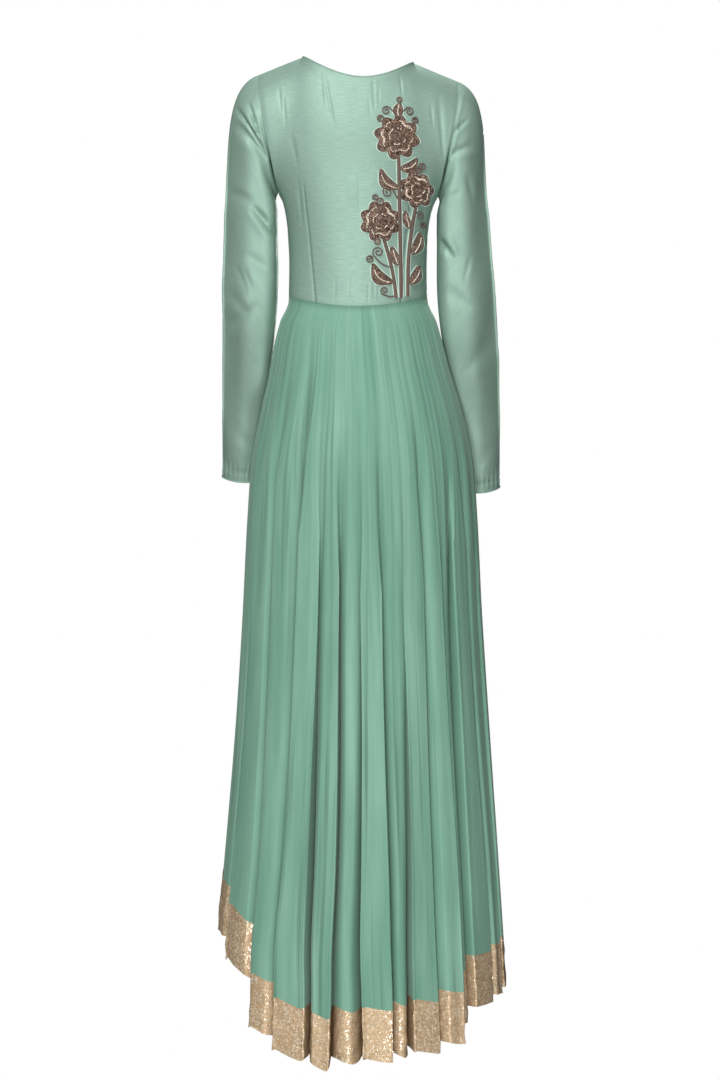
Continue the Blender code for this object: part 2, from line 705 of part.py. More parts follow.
def build():
    for old in list(bpy.data.objects):
        bpy.data.objects.remove(old)
    silk = material("mint_silk", MINT_SILK, 0.42)
    georgette = material("sea_green_georgette", SEA_GREEN_GEORGETTE, 0.72)
    tissue = material("gold_tissue", GOLD_TISSUE, 0.45, 0.55)
    thread = material("brown_thread", BROWN_THREAD, 0.55, 0.25)

    pieces = cloth_pieces()
    sums = {}
    for grid in pieces:
        add_normals(sums, grid)
    finishes = {"bodice": silk, "sleeve": silk, "skirt": georgette, "gold": tissue}
    for grid in pieces:
        add_cloth(grid, sums, finishes[grid.name.split("_")[0]])

    surface = surface_of(pieces[0].rows)
    for flower in BLOSSOMS:
        blossom(flower, surface, thread)
    for form in LEAVES:
        strip(form, leaf_half_widths(form), surface, thread)
    for form in STEMS:
        strip(form, [form.width / 2] * STEM_ROWS, surface, thread)


build()
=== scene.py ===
import math
from collections import namedtuple

import bpy
import numpy as np
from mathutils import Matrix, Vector
from mathutils.bvhtree import BVHTree


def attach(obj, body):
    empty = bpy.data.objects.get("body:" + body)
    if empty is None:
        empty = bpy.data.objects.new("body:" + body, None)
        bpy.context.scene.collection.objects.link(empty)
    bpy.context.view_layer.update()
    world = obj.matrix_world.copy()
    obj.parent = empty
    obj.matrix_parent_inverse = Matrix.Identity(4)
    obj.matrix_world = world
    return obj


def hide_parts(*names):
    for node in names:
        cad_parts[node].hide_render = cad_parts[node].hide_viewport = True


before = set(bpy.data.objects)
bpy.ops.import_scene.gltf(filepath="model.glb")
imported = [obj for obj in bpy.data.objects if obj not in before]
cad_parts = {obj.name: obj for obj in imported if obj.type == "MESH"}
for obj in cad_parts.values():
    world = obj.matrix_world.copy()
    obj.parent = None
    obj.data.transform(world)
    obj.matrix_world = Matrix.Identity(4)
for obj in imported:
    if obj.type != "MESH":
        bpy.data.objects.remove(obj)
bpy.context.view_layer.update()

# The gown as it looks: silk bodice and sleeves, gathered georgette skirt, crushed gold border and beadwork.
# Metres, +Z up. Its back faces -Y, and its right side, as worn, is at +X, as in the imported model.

# Bodice
UNDERARM_HEIGHT = -0.207
WAIST_SIDE_HEIGHT = -0.362
WAIST_DIP = {"back": 0.018, "front": 0.010}
SIDE_ROUNDNESS = 0.85
NECK_HALF_WIDTH = 0.084
NECK_DEPTH = {"back": 0.034, "front": 0.105}
NECK_REACH = {"back": 0.066, "front": 0.072}
NECK_SHARE = 0.62
NECK_CURVE = {"back": (1.9, 1.0), "front": (2.2, 0.72)}
BUST = 0.011
BUST_HEIGHT = -0.222
BUST_ACROSS = 0.42
BUST_SPREAD = (0.25, 0.055)
SHOULDER_TIP = np.array((0.152, 0.0, -0.028))
SHOULDER_TILT = 0.005
TILT_SPREAD = 0.060
STEADY_BELOW = -0.30
TILTED_ABOVE = -0.13

# How the panels' corners at the shoulder and their change of form at the underarm are rounded off
CORNER_FADE = 0.16
CORNER_START = 0.40
CORNER_PASSES = 220
UNDERARM_ROWS = 20
UNDERARM_KEEP = 0.20
UNDERARM_PASSES = 120

# Sleeves
SHOULDER_LEAVE = np.array((0.93, 0.0, -0.37))
UNDERARM_LEAVE = np.array((0.80, 0.0, -0.60))
CAP_LEAVE = 0.27
CAP_RISE = 0.45
SLEEVE_LEAN = {"left": 0.090, "right": 0.140}
AXIS_STEP = 0.030

# The back of a sleeve: a ridge runs down it, and the cloth is broad and flat from there to the inner side
ARM_RIDGE = -0.14
OUTER_SLOPE = 0.92
INNER_FLATNESS = 6
RIDGE_SHARPNESS = 7
RIDGE_START = 0.42
RIDGE_FADE = 0.12
CUFF_RIDGE = 0.35
INNER_CROWD = 0.40

# Skirt
BAND_WIDTH = 0.075
HEM_RADIUS = 0.21
HEM_STEP = 2.0
FOLD_FULLNESS = 3.5
FOLD_WIDTH = 0.045
WAIST_RIPPLE = 0.0011
RIPPLE_LENGTH = 0.070
FLARE_LENGTH = 0.035
FOLD_GROWTH = 0.62
FULL_FOLD = 0.012
VALLEY_LIFT = 0.010
CORNER_LIFT = 0.50
SIDE_SEAM = 90.0

# How the folds and their valleys waver, and the fine pleats under the waist
DEPTH_SWAY = 0.10
DEPTH_SWAY_PITCH = 9.0
ANGLE_SWAY = 0.7
ANGLE_SWAY_PITCH = 7.5
SWAY_TURN = 2.4
FACE_RIPPLE = 0.0020
FACE_RIPPLES = 1.5
FACE_TURN = 0.37
FACE_DRIFT = 0.35
FACE_STEADY = 0.6
PLEAT_DEPTH = 0.0006
PLEAT_START = 0.10
PLEAT_FADE = 0.42
PLEATS_PER_FOLD = 2
PLEAT_TURN = 0.7
PLEAT_SHARPNESS = 3

# How finely each piece is drawn
BODICE_ACROSS = 220
BODICE_LOW_ROWS = 44
YOKE_ROWS = 66
SLEEVE_AROUND = 112
CAP_ROWS = 44
ARM_ROWS = 104
FOLD_COLUMNS = 26
SKIRT_ROWS = 104
BAND_ROWS = 16
SHARP_EDGE = 78.0

# Cloth: its walls, how uneven it lies, its sewn lines, how much darker each line is, and painted shade in
# hollows
SILK_WALL = 0.0010
GEORGETTE_WALL = 0.0008
TISSUE_WALL = 0.0012
WAVES = 7
UNEVEN = {"bodice": 0.0006, "sleeve": 0.0013, "tissue": 0.0006}
UNEVEN_LENGTH = {"bodice": 0.085, "sleeve": 0.070, "tissue": 0.017}
UNEVEN_SEED = {"back": 3, "front": 4, "left": 11, "right": 12, "tissue": 21}
SLEEVE_STRETCH = np.array((1.0, 1.0, 0.55))
CRUSH_RISE = 5
SEAM_GROOVE = 0.0022
SEAM_REACH = 0.0026
SEAM_FAINT = 0.16
SEAM_DEEPEST = -0.170
SEAM_SPREAD = 0.045
WAIST_REACH = 0.004
INNER_SEAM = 0.13
INNER_GROOVE = 0.0006
# How much darker each line is drawn; beside the underarm and along the sleeves' inner edges this is also
# painted shade
SEAM_SHADE = 0.75
DART_SHADE = 0.40
HEM_SHADE = 0.35
INNER_SHADE = 0.85
WAIST_SHADE = 0.50
# Painted shade in the skirt's hollows: its strength on the georgette, and how it fades up the covered side
VALLEY_SHADE = 0.90
HOLLOW_FALL = 0.9

# The cut of each cloth: the size it was cut to, the area of what shows, and how it is held
Cut = namedtuple("Cut", "flat area held")

TorsoSection = namedtuple("TorsoSection", "height half_width back front")
TORSO = [
    TorsoSection(-0.385, 0.1060, 0.089, 0.092),
    TorsoSection(-0.330, 0.1046, 0.090, 0.098),
    TorsoSection(-0.283, 0.1052, 0.093, 0.110),
    TorsoSection(-0.245, 0.1085, 0.097, 0.121),
    TorsoSection(-0.220, 0.1140, 0.100, 0.122),
    TorsoSection(-0.207, 0.1205, 0.102, 0.120),
]

# Where a panel's upright lines start at the underarm and end at the neck or shoulder. across is 0 in the
# panel's middle and 1 at the armhole; the rest are how far the line is pulled out, up, down and sideways.
Upright = namedtuple("Upright", "across low_out low_up low_side high_out high_down high_side")
UPRIGHTS = {
    "back": [
        Upright(0.00, 0.008, 0.060, 0.000, 0.022, 0.055, 0.000),
        Upright(0.31, 0.011, 0.062, 0.002, 0.030, 0.048, 0.002),
        Upright(0.62, 0.022, 0.070, 0.004, 0.056, 0.014, 0.004),
        Upright(0.80, 0.040, 0.058, 0.008, 0.062, 0.026, 0.002),
        Upright(1.00, 0.070, 0.030, 0.012, 0.070, 0.050, -0.002),
    ],
    "front": [
        Upright(0.00, 0.003, 0.034, 0.000, 0.020, 0.032, 0.000),
        Upright(0.31, 0.004, 0.040, 0.002, 0.028, 0.036, 0.000),
        Upright(0.62, 0.008, 0.062, 0.002, 0.058, 0.016, 0.000),
        Upright(0.80, 0.030, 0.052, 0.002, 0.060, 0.028, -0.006),
        Upright(1.00, 0.066, 0.028, 0.002, 0.062, 0.052, -0.012),
    ],
}

ArmSection = namedtuple("ArmSection", "height outer inner forward half_depth")
SLEEVES = {
    "left": [
        ArmSection(-0.236, 0.2035, 0.1215, 0.002, 0.052),
        ArmSection(-0.296, 0.2052, 0.1205, 0.004, 0.051),
        ArmSection(-0.350, 0.2062, 0.1212, 0.006, 0.049),
        ArmSection(-0.400, 0.2068, 0.1250, 0.016, 0.046),
        ArmSection(-0.450, 0.2078, 0.1310, 0.034, 0.043),
        ArmSection(-0.500, 0.2086, 0.1385, 0.054, 0.040),
        ArmSection(-0.550, 0.2092, 0.1445, 0.072, 0.037),
        ArmSection(-0.600, 0.2098, 0.1495, 0.089, 0.034),
        ArmSection(-0.632, 0.2105, 0.1525, 0.098, 0.032),
    ],
    "right": [
        ArmSection(-0.236, 0.1995, 0.1195, 0.002, 0.052),
        ArmSection(-0.296, 0.2038, 0.1195, 0.004, 0.051),
        ArmSection(-0.350, 0.2088, 0.1200, 0.006, 0.049),
        ArmSection(-0.400, 0.2122, 0.1245, 0.016, 0.046),
        ArmSection(-0.450, 0.2150, 0.1335, 0.034, 0.043),
        ArmSection(-0.500, 0.2172, 0.1425, 0.054, 0.040),
        ArmSection(-0.550, 0.2186, 0.1505, 0.072, 0.037),
        ArmSection(-0.600, 0.2192, 0.1570, 0.089, 0.034),
        ArmSection(-0.648, 0.2198, 0.1620, 0.103, 0.032),
    ],
}

SkirtSection = namedtuple("SkirtSection", "height half_width back front centre")
SKIRT = [
    SkirtSection(-0.350, 0.1065, 0.0890, 0.0915, 0.0000),
    SkirtSection(-0.385, 0.1155, 0.0970, 0.0965, 0.0005),
    SkirtSection(-0.430, 0.1280, 0.1110, 0.1030, 0.0010),
    SkirtSection(-0.474, 0.1375, 0.1260, 0.1080, 0.0030),
    SkirtSection(-0.532, 0.1530, 0.1430, 0.1140, 0.0055),
    SkirtSection(-0.603, 0.1675, 0.1570, 0.1200, 0.0065),
    SkirtSection(-0.690, 0.1745, 0.1630, 0.1280, 0.0070),
    SkirtSection(-0.851, 0.1825, 0.1680, 0.1420, 0.0070),
    SkirtSection(-1.034, 0.1940, 0.1780, 0.1600, 0.0070),
    SkirtSection(-1.216, 0.2085, 0.1930, 0.1800, 0.0060),
    SkirtSection(-1.330, 0.2185, 0.2030, 0.1900, 0.0040),
    SkirtSection(-1.398, 0.2215, 0.2080, 0.1970, 0.0050),
    SkirtSection(-1.520, 0.2280, 0.2170, 0.2060, 0.0050),
]

# The hem's height round the skirt: 0 degrees is the middle of the back, 90 the gown's right side
HemPoint = namedtuple("HemPoint", "angle height")
HEM = [
    HemPoint(-150, -1.108),
    HemPoint(-128, -1.132),
    HemPoint(-108, -1.210),
    HemPoint(-90, -1.292),
    HemPoint(-78, -1.318),
    HemPoint(-66, -1.331),
    HemPoint(-54, -1.384),
    HemPoint(-42, -1.452),
    HemPoint(-30, -1.482),
    HemPoint(-18, -1.497),
    HemPoint(-4, -1.491),
    HemPoint(10, -1.487),
    HemPoint(26, -1.479),
    HemPoint(38, -1.466),
    HemPoint(54, -1.424),
    HemPoint(69, -1.410),
    HemPoint(90, -1.398),
    HemPoint(125, -1.350),
    HemPoint(155, -1.255),
    HemPoint(182, -1.160),
]

# One row for each valley between two folds. high_angle and hem_angle are where it runs, start is how far
# below the waist it begins to deepen, and depth is its depth at the hem. lap is 1 where the fold before it
# lies over it, -1 where the fold after it does, and spread is how far the covered fold slopes towards it,
# as a share of a fold. slant, recess and tilt belong to the fold after it: how much its hem falls from its
# middle to its end, how far its face lies back, and how much deeper its face lies at its end than at its
# start.
Valley = namedtuple("Valley", "high_angle hem_angle start depth slant lap spread recess tilt")
VALLEYS = [
    Valley(-90, -90, 0.20, 0.034, 0.018, -0.6, 0.22, 0.000, 0.002),
    Valley(-79, -80, 0.18, 0.030, 0.009, -0.8, 0.24, 0.000, 0.003),
    Valley(-67, -67, 0.10, 0.044, 0.020, -1.0, 0.34, 0.001, 0.003),
    Valley(-49, -48, 0.08, 0.048, 0.010, -0.9, 0.34, 0.000, 0.003),
    Valley(-32, -35, 0.06, 0.046, 0.011, -0.9, 0.42, 0.000, -0.002),
    Valley(-21, -23, 0.26, 0.040, 0.010, 0.9, 0.36, 0.002, -0.003),
    Valley(-11, -12, 0.10, 0.036, 0.008, 1.0, 0.42, 0.003, -0.002),
    Valley(-2, 1, 0.32, 0.044, 0.005, -1.0, 0.44, 0.000, 0.002),
    Valley(8, 11, 0.12, 0.042, 0.006, 1.0, 0.48, 0.010, 0.001),
    Valley(19, 21, 0.38, 0.042, 0.005, -1.0, 0.34, 0.001, 0.003),
    Valley(30, 31, 0.12, 0.046, 0.004, 0.9, 0.40, 0.000, -0.003),
    Valley(40, 42, 0.42, 0.034, 0.000, 1.0, 0.32, 0.007, 0.001),
    Valley(49, 51, 0.18, 0.042, -0.002, -0.9, 0.40, 0.001, -0.002),
    Valley(60, 63, 0.14, 0.040, 0.001, 0.8, 0.36, 0.002, 0.001),
    Valley(74, 75, 0.18, 0.036, 0.001, 0.7, 0.24, 0.001, 0.002),
    Valley(90, 90, 0.26, 0.034, 0.004, 0.6, 0.24, 0.002, -0.002),
    Valley(104, 103, 0.20, 0.038, -0.004, -0.8, 0.26, 0.000, 0.002),
    Valley(116, 118, 0.30, 0.034, 0.004, 0.9, 0.24, 0.005, 0.001),
    Valley(131, 131, 0.14, 0.042, -0.006, -0.9, 0.30, 0.000, -0.003),
    Valley(143, 144, 0.34, 0.032, 0.003, 0.8, 0.22, 0.004, 0.002),
    Valley(156, 157, 0.16, 0.040, -0.003, -0.7, 0.26, 0.000, 0.002),
    Valley(170, 169, 0.28, 0.036, 0.005, 0.9, 0.28, 0.006, -0.001),
    Valley(183, 184, 0.12, 0.042, -0.004, -1.0, 0.24, 0.000, 0.003),
    Valley(197, 196, 0.30, 0.034, 0.004, 0.8, 0.24, 0.003, -0.002),
    Valley(209, 211, 0.18, 0.040, -0.006, -0.9, 0.26, 0.000, 0.002),
    Valley(223, 222, 0.32, 0.034, 0.003, 0.9, 0.24, 0.005, 0.001),
    Valley(235, 236, 0.14, 0.040, -0.004, -0.8, 0.28, 0.000, -0.002),
    Valley(248, 247, 0.30, 0.034, 0.004, 0.7, 0.24, 0.003, 0.002),
    Valley(259, 259, 0.22, 0.036, 0.003, 0.8, 0.22, 0.001, 0.002),
]

# A fold's side, from the bottom of the valley to its flat face: how far along the skirt, as a share of a
# fold, and how far in, as a share of the valley's depth
EdgePoint = namedtuple("EdgePoint", "along inward")
COVERING_EDGE = [
    EdgePoint(0.050, 1.00),
    EdgePoint(0.036, 0.72),
    EdgePoint(0.006, 0.36),
    EdgePoint(-0.030, 0.12),
    EdgePoint(-0.036, 0.03),
    EdgePoint(0.004, -0.01),
    EdgePoint(0.100, 0.00),
]
COVERED_EDGE = [
    EdgePoint(-0.050, 1.00),
    EdgePoint(0.010, 0.82),
    EdgePoint(0.200, 0.56),
    EdgePoint(0.450, 0.30),
    EdgePoint(0.700, 0.13),
    EdgePoint(0.900, 0.04),
    EdgePoint(1.150, 0.00),
]

# Creases, in metres across from the middle and up from the origin, with how wide and deep each one is
Crease = namedtuple("Crease", "x0 z0 x1 z1 width depth")
BACK_CREASES = [
    Crease(-0.0500, -0.030, -0.0360, -0.108, 0.0024, 0.0013),
    Crease(-0.0560, -0.026, -0.0520, -0.084, 0.0030, 0.0009),
    Crease(-0.0410, -0.078, -0.0340, -0.122, 0.0022, 0.0007),
    Crease(0.0225, -0.034, 0.0250, -0.090, 0.0021, 0.0011),
    Crease(0.0155, -0.066, 0.0200, -0.100, 0.0020, 0.0007),
    Crease(0.0310, -0.050, 0.0320, -0.078, 0.0018, 0.0006),
    Crease(0.0630, -0.030, 0.0670, -0.064, 0.0020, 0.0009),
    Crease(-0.1200, -0.044, -0.1150, -0.088, 0.0024, 0.0009),
    Crease(-0.1130, -0.060, -0.1080, -0.112, 0.0022, 0.0008),
    Crease(-0.0040, -0.176, -0.0010, -0.250, 0.0030, 0.0009),
    Crease(0.0030, -0.196, 0.0050, -0.240, 0.0022, 0.0006),
    Crease(-0.1010, -0.120, -0.0900, -0.172, 0.0040, 0.0010),
    Crease(0.1210, -0.054, 0.1290, -0.158, 0.0044, 0.0012),
    Crease(0.1090, -0.070, 0.1130, -0.112, 0.0026, 0.0008),
    Crease(-0.0900, -0.186, -0.0830, -0.262, 0.0036, 0.0012),
    Crease(-0.0120, -0.330, -0.0140, -0.372, 0.0020, 0.0006),
    Crease(0.0160, -0.342, 0.0150, -0.378, 0.0018, 0.0007),
    Crease(0.0235, -0.336, 0.0245, -0.374, 0.0018, 0.0006),
    Crease(0.0310, -0.350, 0.0300, -0.372, 0.0016, 0.0005),
    Crease(-0.0330, -0.340, -0.0350, -0.374, 0.0018, 0.0005),
    Crease(0.1010, -0.210, 0.0960, -0.262, 0.0040, 0.0010),
]
FRONT_CREASES = [
    Crease(-0.0480, -0.110, -0.0420, -0.160, 0.0048, 0.0008),
    Crease(0.0500, -0.104, 0.0430, -0.158, 0.0046, 0.0009),
    Crease(-0.1060, -0.090, -0.0900, -0.150, 0.0060, 0.0013),
    Crease(0.1080, -0.086, 0.0930, -0.148, 0.0060, 0.0012),
    Crease(-0.0990, -0.198, -0.0640, -0.232, 0.0056, 0.0010),
    Crease(0.0980, -0.196, 0.0660, -0.236, 0.0056, 0.0011),
    Crease(0.0040, -0.250, 0.0020, -0.320, 0.0050, 0.0007),
    Crease(-0.0260, -0.330, -0.0240, -0.366, 0.0030, 0.0006),
    Crease(0.0300, -0.326, 0.0280, -0.366, 0.0032, 0.0006),
]
# On the sleeves, on the side towards the back; the front side has the same, mirrored and shifted
SLEEVE_CREASES = {
    "left": [
        Crease(-0.1870, -0.072, -0.1405, -0.144, 0.0034, 0.0040),
        Crease(-0.1870, -0.096, -0.1360, -0.158, 0.0078, 0.0040),
        Crease(-0.1421, -0.127, -0.1410, -0.034, 0.0026, 0.0028),
        Crease(-0.1670, -0.066, -0.1435, -0.136, 0.0028, 0.0026),
        Crease(-0.1190, -0.272, -0.1620, -0.226, 0.0074, 0.0058),
        Crease(-0.1250, -0.332, -0.1700, -0.298, 0.0110, 0.0020),
        Crease(-0.1980, -0.200, -0.1560, -0.222, 0.0080, 0.0016),
        Crease(-0.1730, -0.318, -0.1580, -0.354, 0.0026, 0.0013),
        Crease(-0.1850, -0.312, -0.1650, -0.358, 0.0028, 0.0012),
        Crease(-0.1970, -0.350, -0.1640, -0.392, 0.0080, 0.0013),
        Crease(-0.1960, -0.410, -0.1500, -0.372, 0.0100, 0.0018),
        Crease(-0.1500, -0.452, -0.1880, -0.520, 0.0130, 0.0012),
        Crease(-0.1960, -0.548, -0.1660, -0.590, 0.0110, 0.0008),
    ],
    "right": [
        Crease(0.1470, -0.106, 0.1210, -0.190, 0.0034, 0.0048),
        Crease(0.1680, -0.095, 0.1370, -0.121, 0.0027, 0.0032),
        Crease(0.1545, -0.049, 0.1380, -0.138, 0.0027, 0.0034),
        Crease(0.1484, -0.044, 0.1345, -0.104, 0.0022, 0.0018),
        Crease(0.1760, -0.134, 0.1260, -0.155, 0.0060, 0.0030),
        Crease(0.1180, -0.274, 0.1460, -0.308, 0.0066, 0.0048),
        Crease(0.1210, -0.226, 0.1560, -0.204, 0.0080, 0.0016),
        Crease(0.1640, -0.176, 0.1730, -0.216, 0.0050, 0.0014),
        Crease(0.1240, -0.346, 0.1760, -0.384, 0.0120, 0.0017),
        Crease(0.1700, -0.300, 0.1600, -0.344, 0.0030, 0.0012),
        Crease(0.2040, -0.420, 0.1620, -0.478, 0.0130, 0.0012),
        Crease(0.1660, -0.500, 0.2020, -0.560, 0.0130, 0.0010),
        Crease(0.2060, -0.580, 0.1840, -0.620, 0.0100, 0.0008),
    ],
}
# How a crease narrows and fades to its end, the ridge beside it, and how deep all the bodice's are drawn
CREASE_TAPER = 0.8
CREASE_THIN = 0.6
RIDGE_OFFSET = 1.9
RIDGE_WIDTH = 1.3
RIDGE_SHARE = 0.30
CREASE_GAIN = 1.05
EDGE_CALM = 0.012

# How the creases lie on a sleeve: how they fade at its edges and sides, and how the front's differ
SLEEVE_GAIN = 1.5
SLEEVE_CALM = 0.006
CUFF_CALM = 0.03
SIDE_BLEND = 0.35
SIDE_TURN = 0.05
EDGE_SHARE = 0.10
FRONT_SHIFT = -0.012
FRONT_SHARE = 0.8

# The bodice's darts: a sewn line from the waist towards the shoulder blade or bust, on both sides
DARTS = {
    "back": [(0.0640, -0.378), (0.0740, -0.266), (0.0770, -0.243), (0.0820, -0.184)],
    "front": [(0.0560, -0.370), (0.0600, -0.300), (0.0620, -0.252)],
}
DART_WIDTH = 0.0017
DART_DEPTH = 0.0014
DART_FADE = 0.030

# Small puckers where the cuff is turned up, and the sewn line across them
CUFF_HEM = 0.017
CUFF_GROOVE = 0.0009
CUFF_GROOVE_WIDTH = 0.0022
HEM_LINE_WIDTH = 0.0016
PUCKER_SPREAD = 0.0095
PUCKER_DEPTH = 0.0017
PUCKERS = 25
PUCKER_WANDER = 1.3
PUCKER_WANDERS = 3
PUCKER_SWELL = 0.3
PUCKER_SWELLS = 5

# Embroidery on the back, in metres across from the middle of the back and up from the origin
Blossom = namedtuple("Blossom", "name across height radius petals turn")
BLOSSOMS = [
    Blossom("embroidered_blossom_top", 0.058, -0.128, 0.0275, 8, 12),
    Blossom("embroidered_blossom_side", 0.087, -0.205, 0.0215, 7, 30),
    Blossom("embroidered_blossom_low", 0.033, -0.254, 0.0245, 8, 0),
]
Leaf = namedtuple("Leaf", "name root_across root_height tip_across tip_height width bend")
LEAVES = [
    Leaf("embroidered_leaf_1", 0.0590, -0.205, 0.0335, -0.178, 0.0135, 0.20),
    Leaf("embroidered_leaf_2", 0.0640, -0.176, 0.0875, -0.160, 0.0120, -0.20),
    Leaf("embroidered_leaf_3", 0.0765, -0.262, 0.0700, -0.238, 0.0075, 0.05),
    Leaf("embroidered_leaf_4", 0.0815, -0.300, 0.0930, -0.268, 0.0115, -0.10),
    Leaf("embroidered_leaf_5", 0.0500, -0.345, 0.0220, -0.318, 0.0155, 0.20),
    Leaf("embroidered_leaf_6", 0.0785, -0.345, 0.0915, -0.318, 0.0115, -0.10),
    Leaf("embroidered_leaf_7", 0.0585, -0.318, 0.0500, -0.292, 0.0085, 0.0),
    Leaf("embroidered_bud", 0.0595, -0.097, 0.0620, -0.076, 0.0110, 0.05),
]
Stem = namedtuple("Stem", "name root_across root_height tip_across tip_height width bend")
STEMS = [
    Stem("embroidered_stem_top", 0.0645, -0.3670, 0.0605, -0.1580, 0.0036, 0.0),
    Stem("embroidered_stem_side", 0.0745, -0.3640, 0.0860, -0.2300, 0.0034, 0.030),
    Stem("embroidered_stem_low", 0.0570, -0.3675, 0.0385, -0.2810, 0.0034, -0.030),
]
# Curled tendrils: where each one starts, the middle of its curl, the curl's radius, and how far it turns
Tendril = namedtuple("Tendril", "root_across root_height across height radius turns")
TENDRILS = [
    Tendril(0.0605, -0.2420, 0.0440, -0.2110, 0.0088, 1.7),
    Tendril(0.0510, -0.3220, 0.0300, -0.3000, 0.0086, -1.6),
    Tendril(0.0560, -0.1010, 0.0420, -0.0880, 0.0070, 1.5),
    Tendril(0.0620, -0.1010, 0.0765, -0.0880, 0.0070, -1.5),
    Tendril(0.0790, -0.2560, 0.0925, -0.2430, 0.0068, -1.5),
    Tendril(0.0560, -0.3640, 0.0395, -0.3570, 0.0062, -1.4),
    Tendril(0.0860, -0.1840, 0.0960, -0.1710, 0.0058, -1.4),
]
# Small round buds of beads: their middles and radii
Berry = namedtuple("Berry", "across height radius")
BERRIES = [
    Berry(0.0335, -0.1000, 0.0034),
    Berry(0.0850, -0.1010, 0.0032),
    Berry(0.0618, -0.0700, 0.0024),
    Berry(0.0330, -0.2250, 0.0036),
    Berry(0.0255, -0.2190, 0.0026),
    Berry(0.0175, -0.3100, 0.0034),
    Berry(0.0980, -0.2560, 0.0030),
    Berry(0.0905, -0.1770, 0.0028),
    Berry(0.0290, -0.2840, 0.0030),
]

# Pads of thread under the beads
PETAL_NOTCH = 0.20
PETAL_DOME = 0.55
SPOKES_PER_PETAL = 12
PAD_RINGS = (0.2, 0.4, 0.6, 0.8, 0.93, 1.0)
PAD_LIFT = 0.0003
PAD_REACH = 1.17
PAD_RELIEF = 0.0010
PAD_DOME = 0.0016
LEAF_ROWS = 28
LEAF_BLUNTNESS = 0.0005
LEAF_BELLY = 0.85
LEAF_FULLNESS = 0.8
STEM_ROWS = 40
STRIP_SHARES = (1.0, 0.6, 0.0, -0.6, -1.0)
STRIP_FULLNESS = (0.0, 0.7, 1.0, 0.7, 0.0)

# Rows of beads and cords, as shares of a blossom's or a leaf's size
BEAD_RINGS = (1.15, 1.09, 1.03, 0.97, 0.89, 0.81, 0.73, 0.65, 0.57, 0.49, 0.41, 0.33, 0.25, 0.17, 0.08)
ROSE_RINGS = (0.88, 0.80, 0.46)
# Where each dash of cut beads, painted bright as glints, starts on its ring, and how long it is, as shares
# of the way round
ROSE_DASHES = (
    ((0.04, 0.15), (0.30, 0.05), (0.40, 0.17), (0.63, 0.04), (0.76, 0.10)),
    ((0.07, 0.09), (0.43, 0.11), (0.70, 0.03), (0.90, 0.05)),
    ((0.15, 0.06), (0.32, 0.20), (0.66, 0.09), (0.86, 0.04)),
)
OUTLINE_RING = 1.21
HALO_RING = OUTLINE_RING + 0.09
LEAF_SPAN = 0.92
LEAF_ROW_PITCH = 0.9
RIB_ASIDE = 0.12
RIB_ROWS = slice(3, -6)
STEM_SPAN = 0.9
TENDRIL_END = 0.16
TENDRIL_POINTS = 64
TENDRIL_BOW = 0.12
LEAD_POINTS = 14
BERRY_END = 0.02
BERRY_POINTS = 30

# How far the middles of beads and cords lie above the cloth or pad, as shares of their radii
BEAD_SEAT = 0.3
CUT_BEAD_SEAT = 1.6
CORD_SEAT = 0.8
STEM_BEAD_SEAT = 1.6
RIM_SEAT = 0.7
RIM_GAP = 1.7
BLOSSOM_DOME = 0.8
LEAF_DOME = 0.7

# Numbers for each repeated thing that Geometry Nodes lays along a path
BEAD_SPACING = 0.00170
BEAD_RADIUS = 0.00085
BEAD_UNEVENNESS = 0.18
BEAD_SEED = 5
CUT_BEAD_SPACING = 0.0029
CUT_BEAD_RADIUS = 0.00085
CUT_BEAD_LENGTH = 0.0026
CUT_BEAD_UNEVENNESS = 0.2
STITCH_SPACING = 0.0030
STITCH_LENGTH = 0.0017
STITCH_RADIUS = 0.00022
STITCH_UNEVENNESS = 0.05
PIPING_SPACING = 0.003
PIPING_RADIUS = 0.0011
CORD_SPACING = 0.0010
CORD_RADIUS = 0.00115
CORD_SIDES = 8
ROD_SIDES = 6
HALO_SPACING = 0.0016
HALO_RADIUS = 0.00055
HALO_GAP = 0.0016
NECK_MARGIN = 0.002

# The floor, the light and the camera
FLOOR_HEIGHT = -1.62
FLOOR_REACH = 60.0
FLOOR_GLOW = 1.0
WORLD_SEEN = 1.0
WORLD_FILL = 0.055
CAMERA_PLACE = (0.003, -5.0, -0.7296)
CAMERA_LENS = 109.65
Lamp = namedtuple("Lamp", "name place target size power")
LAMPS = [
    Lamp("key", (-0.30, -5.7, -0.6), (0.0, 0.0, -0.72), 1.5, 236.0),
    Lamp("high", (-0.8, -2.6, 3.2), (0.0, 0.0, -0.10), 1.5, 158.0),
    Lamp("under", (0.5, -3.1, -3.3), (0.12, 0.0, -0.50), 1.0, 46.0),
    Lamp("far_side", (0.7, 5.5, 0.6), (0.0, 0.0, -0.7), 1.8, 290.0),
    Lamp("far_high", (0.3, 2.6, 3.2), (0.0, 0.0, -0.10), 1.5, 90.0),
]


def ease(share):
    """A share from 0 to 1, made smooth at both ends."""
    share = np.clip(share, 0.0, 1.0)
    return share * share * (3 - 2 * share)


def bell(distance, width):
    """1 on a line, and ever less beside it."""
    return np.exp(-((distance / width) ** 2))


def read(table, column, at):
    """A column's values where the table's first column equals at, on a smooth curve through its rows."""
    rows = sorted(table, key=lambda row: row[0])
    keys = np.array([row[0] for row in rows], float)
    values = np.array([getattr(row, column) for row in rows], float)
    at = np.clip(at, keys[0], keys[-1])
    i = np.clip(np.searchsorted(keys, at, side="right") - 1, 0, len(keys) - 2)
    low = np.maximum(np.arange(len(keys)) - 1, 0)
    high = np.minimum(np.arange(len(keys)) + 1, len(keys) - 1)
    slopes = (values[high] - values[low]) / (keys[high] - keys[low])
    span = keys[i + 1] - keys[i]
    t = (at - keys[i]) / span
    return (
        (2 * t**3 - 3 * t**2 + 1) * values[i]
        + (t**3 - 2 * t**2 + t) * span * slopes[i]
        + (3 * t**2 - 2 * t**3) * values[i + 1]
        + (t**3 - t**2) * span * slopes[i + 1]
    )


def points_of(x, y, z):
    return np.stack(np.broadcast_arrays(x, y, z), axis=-1)


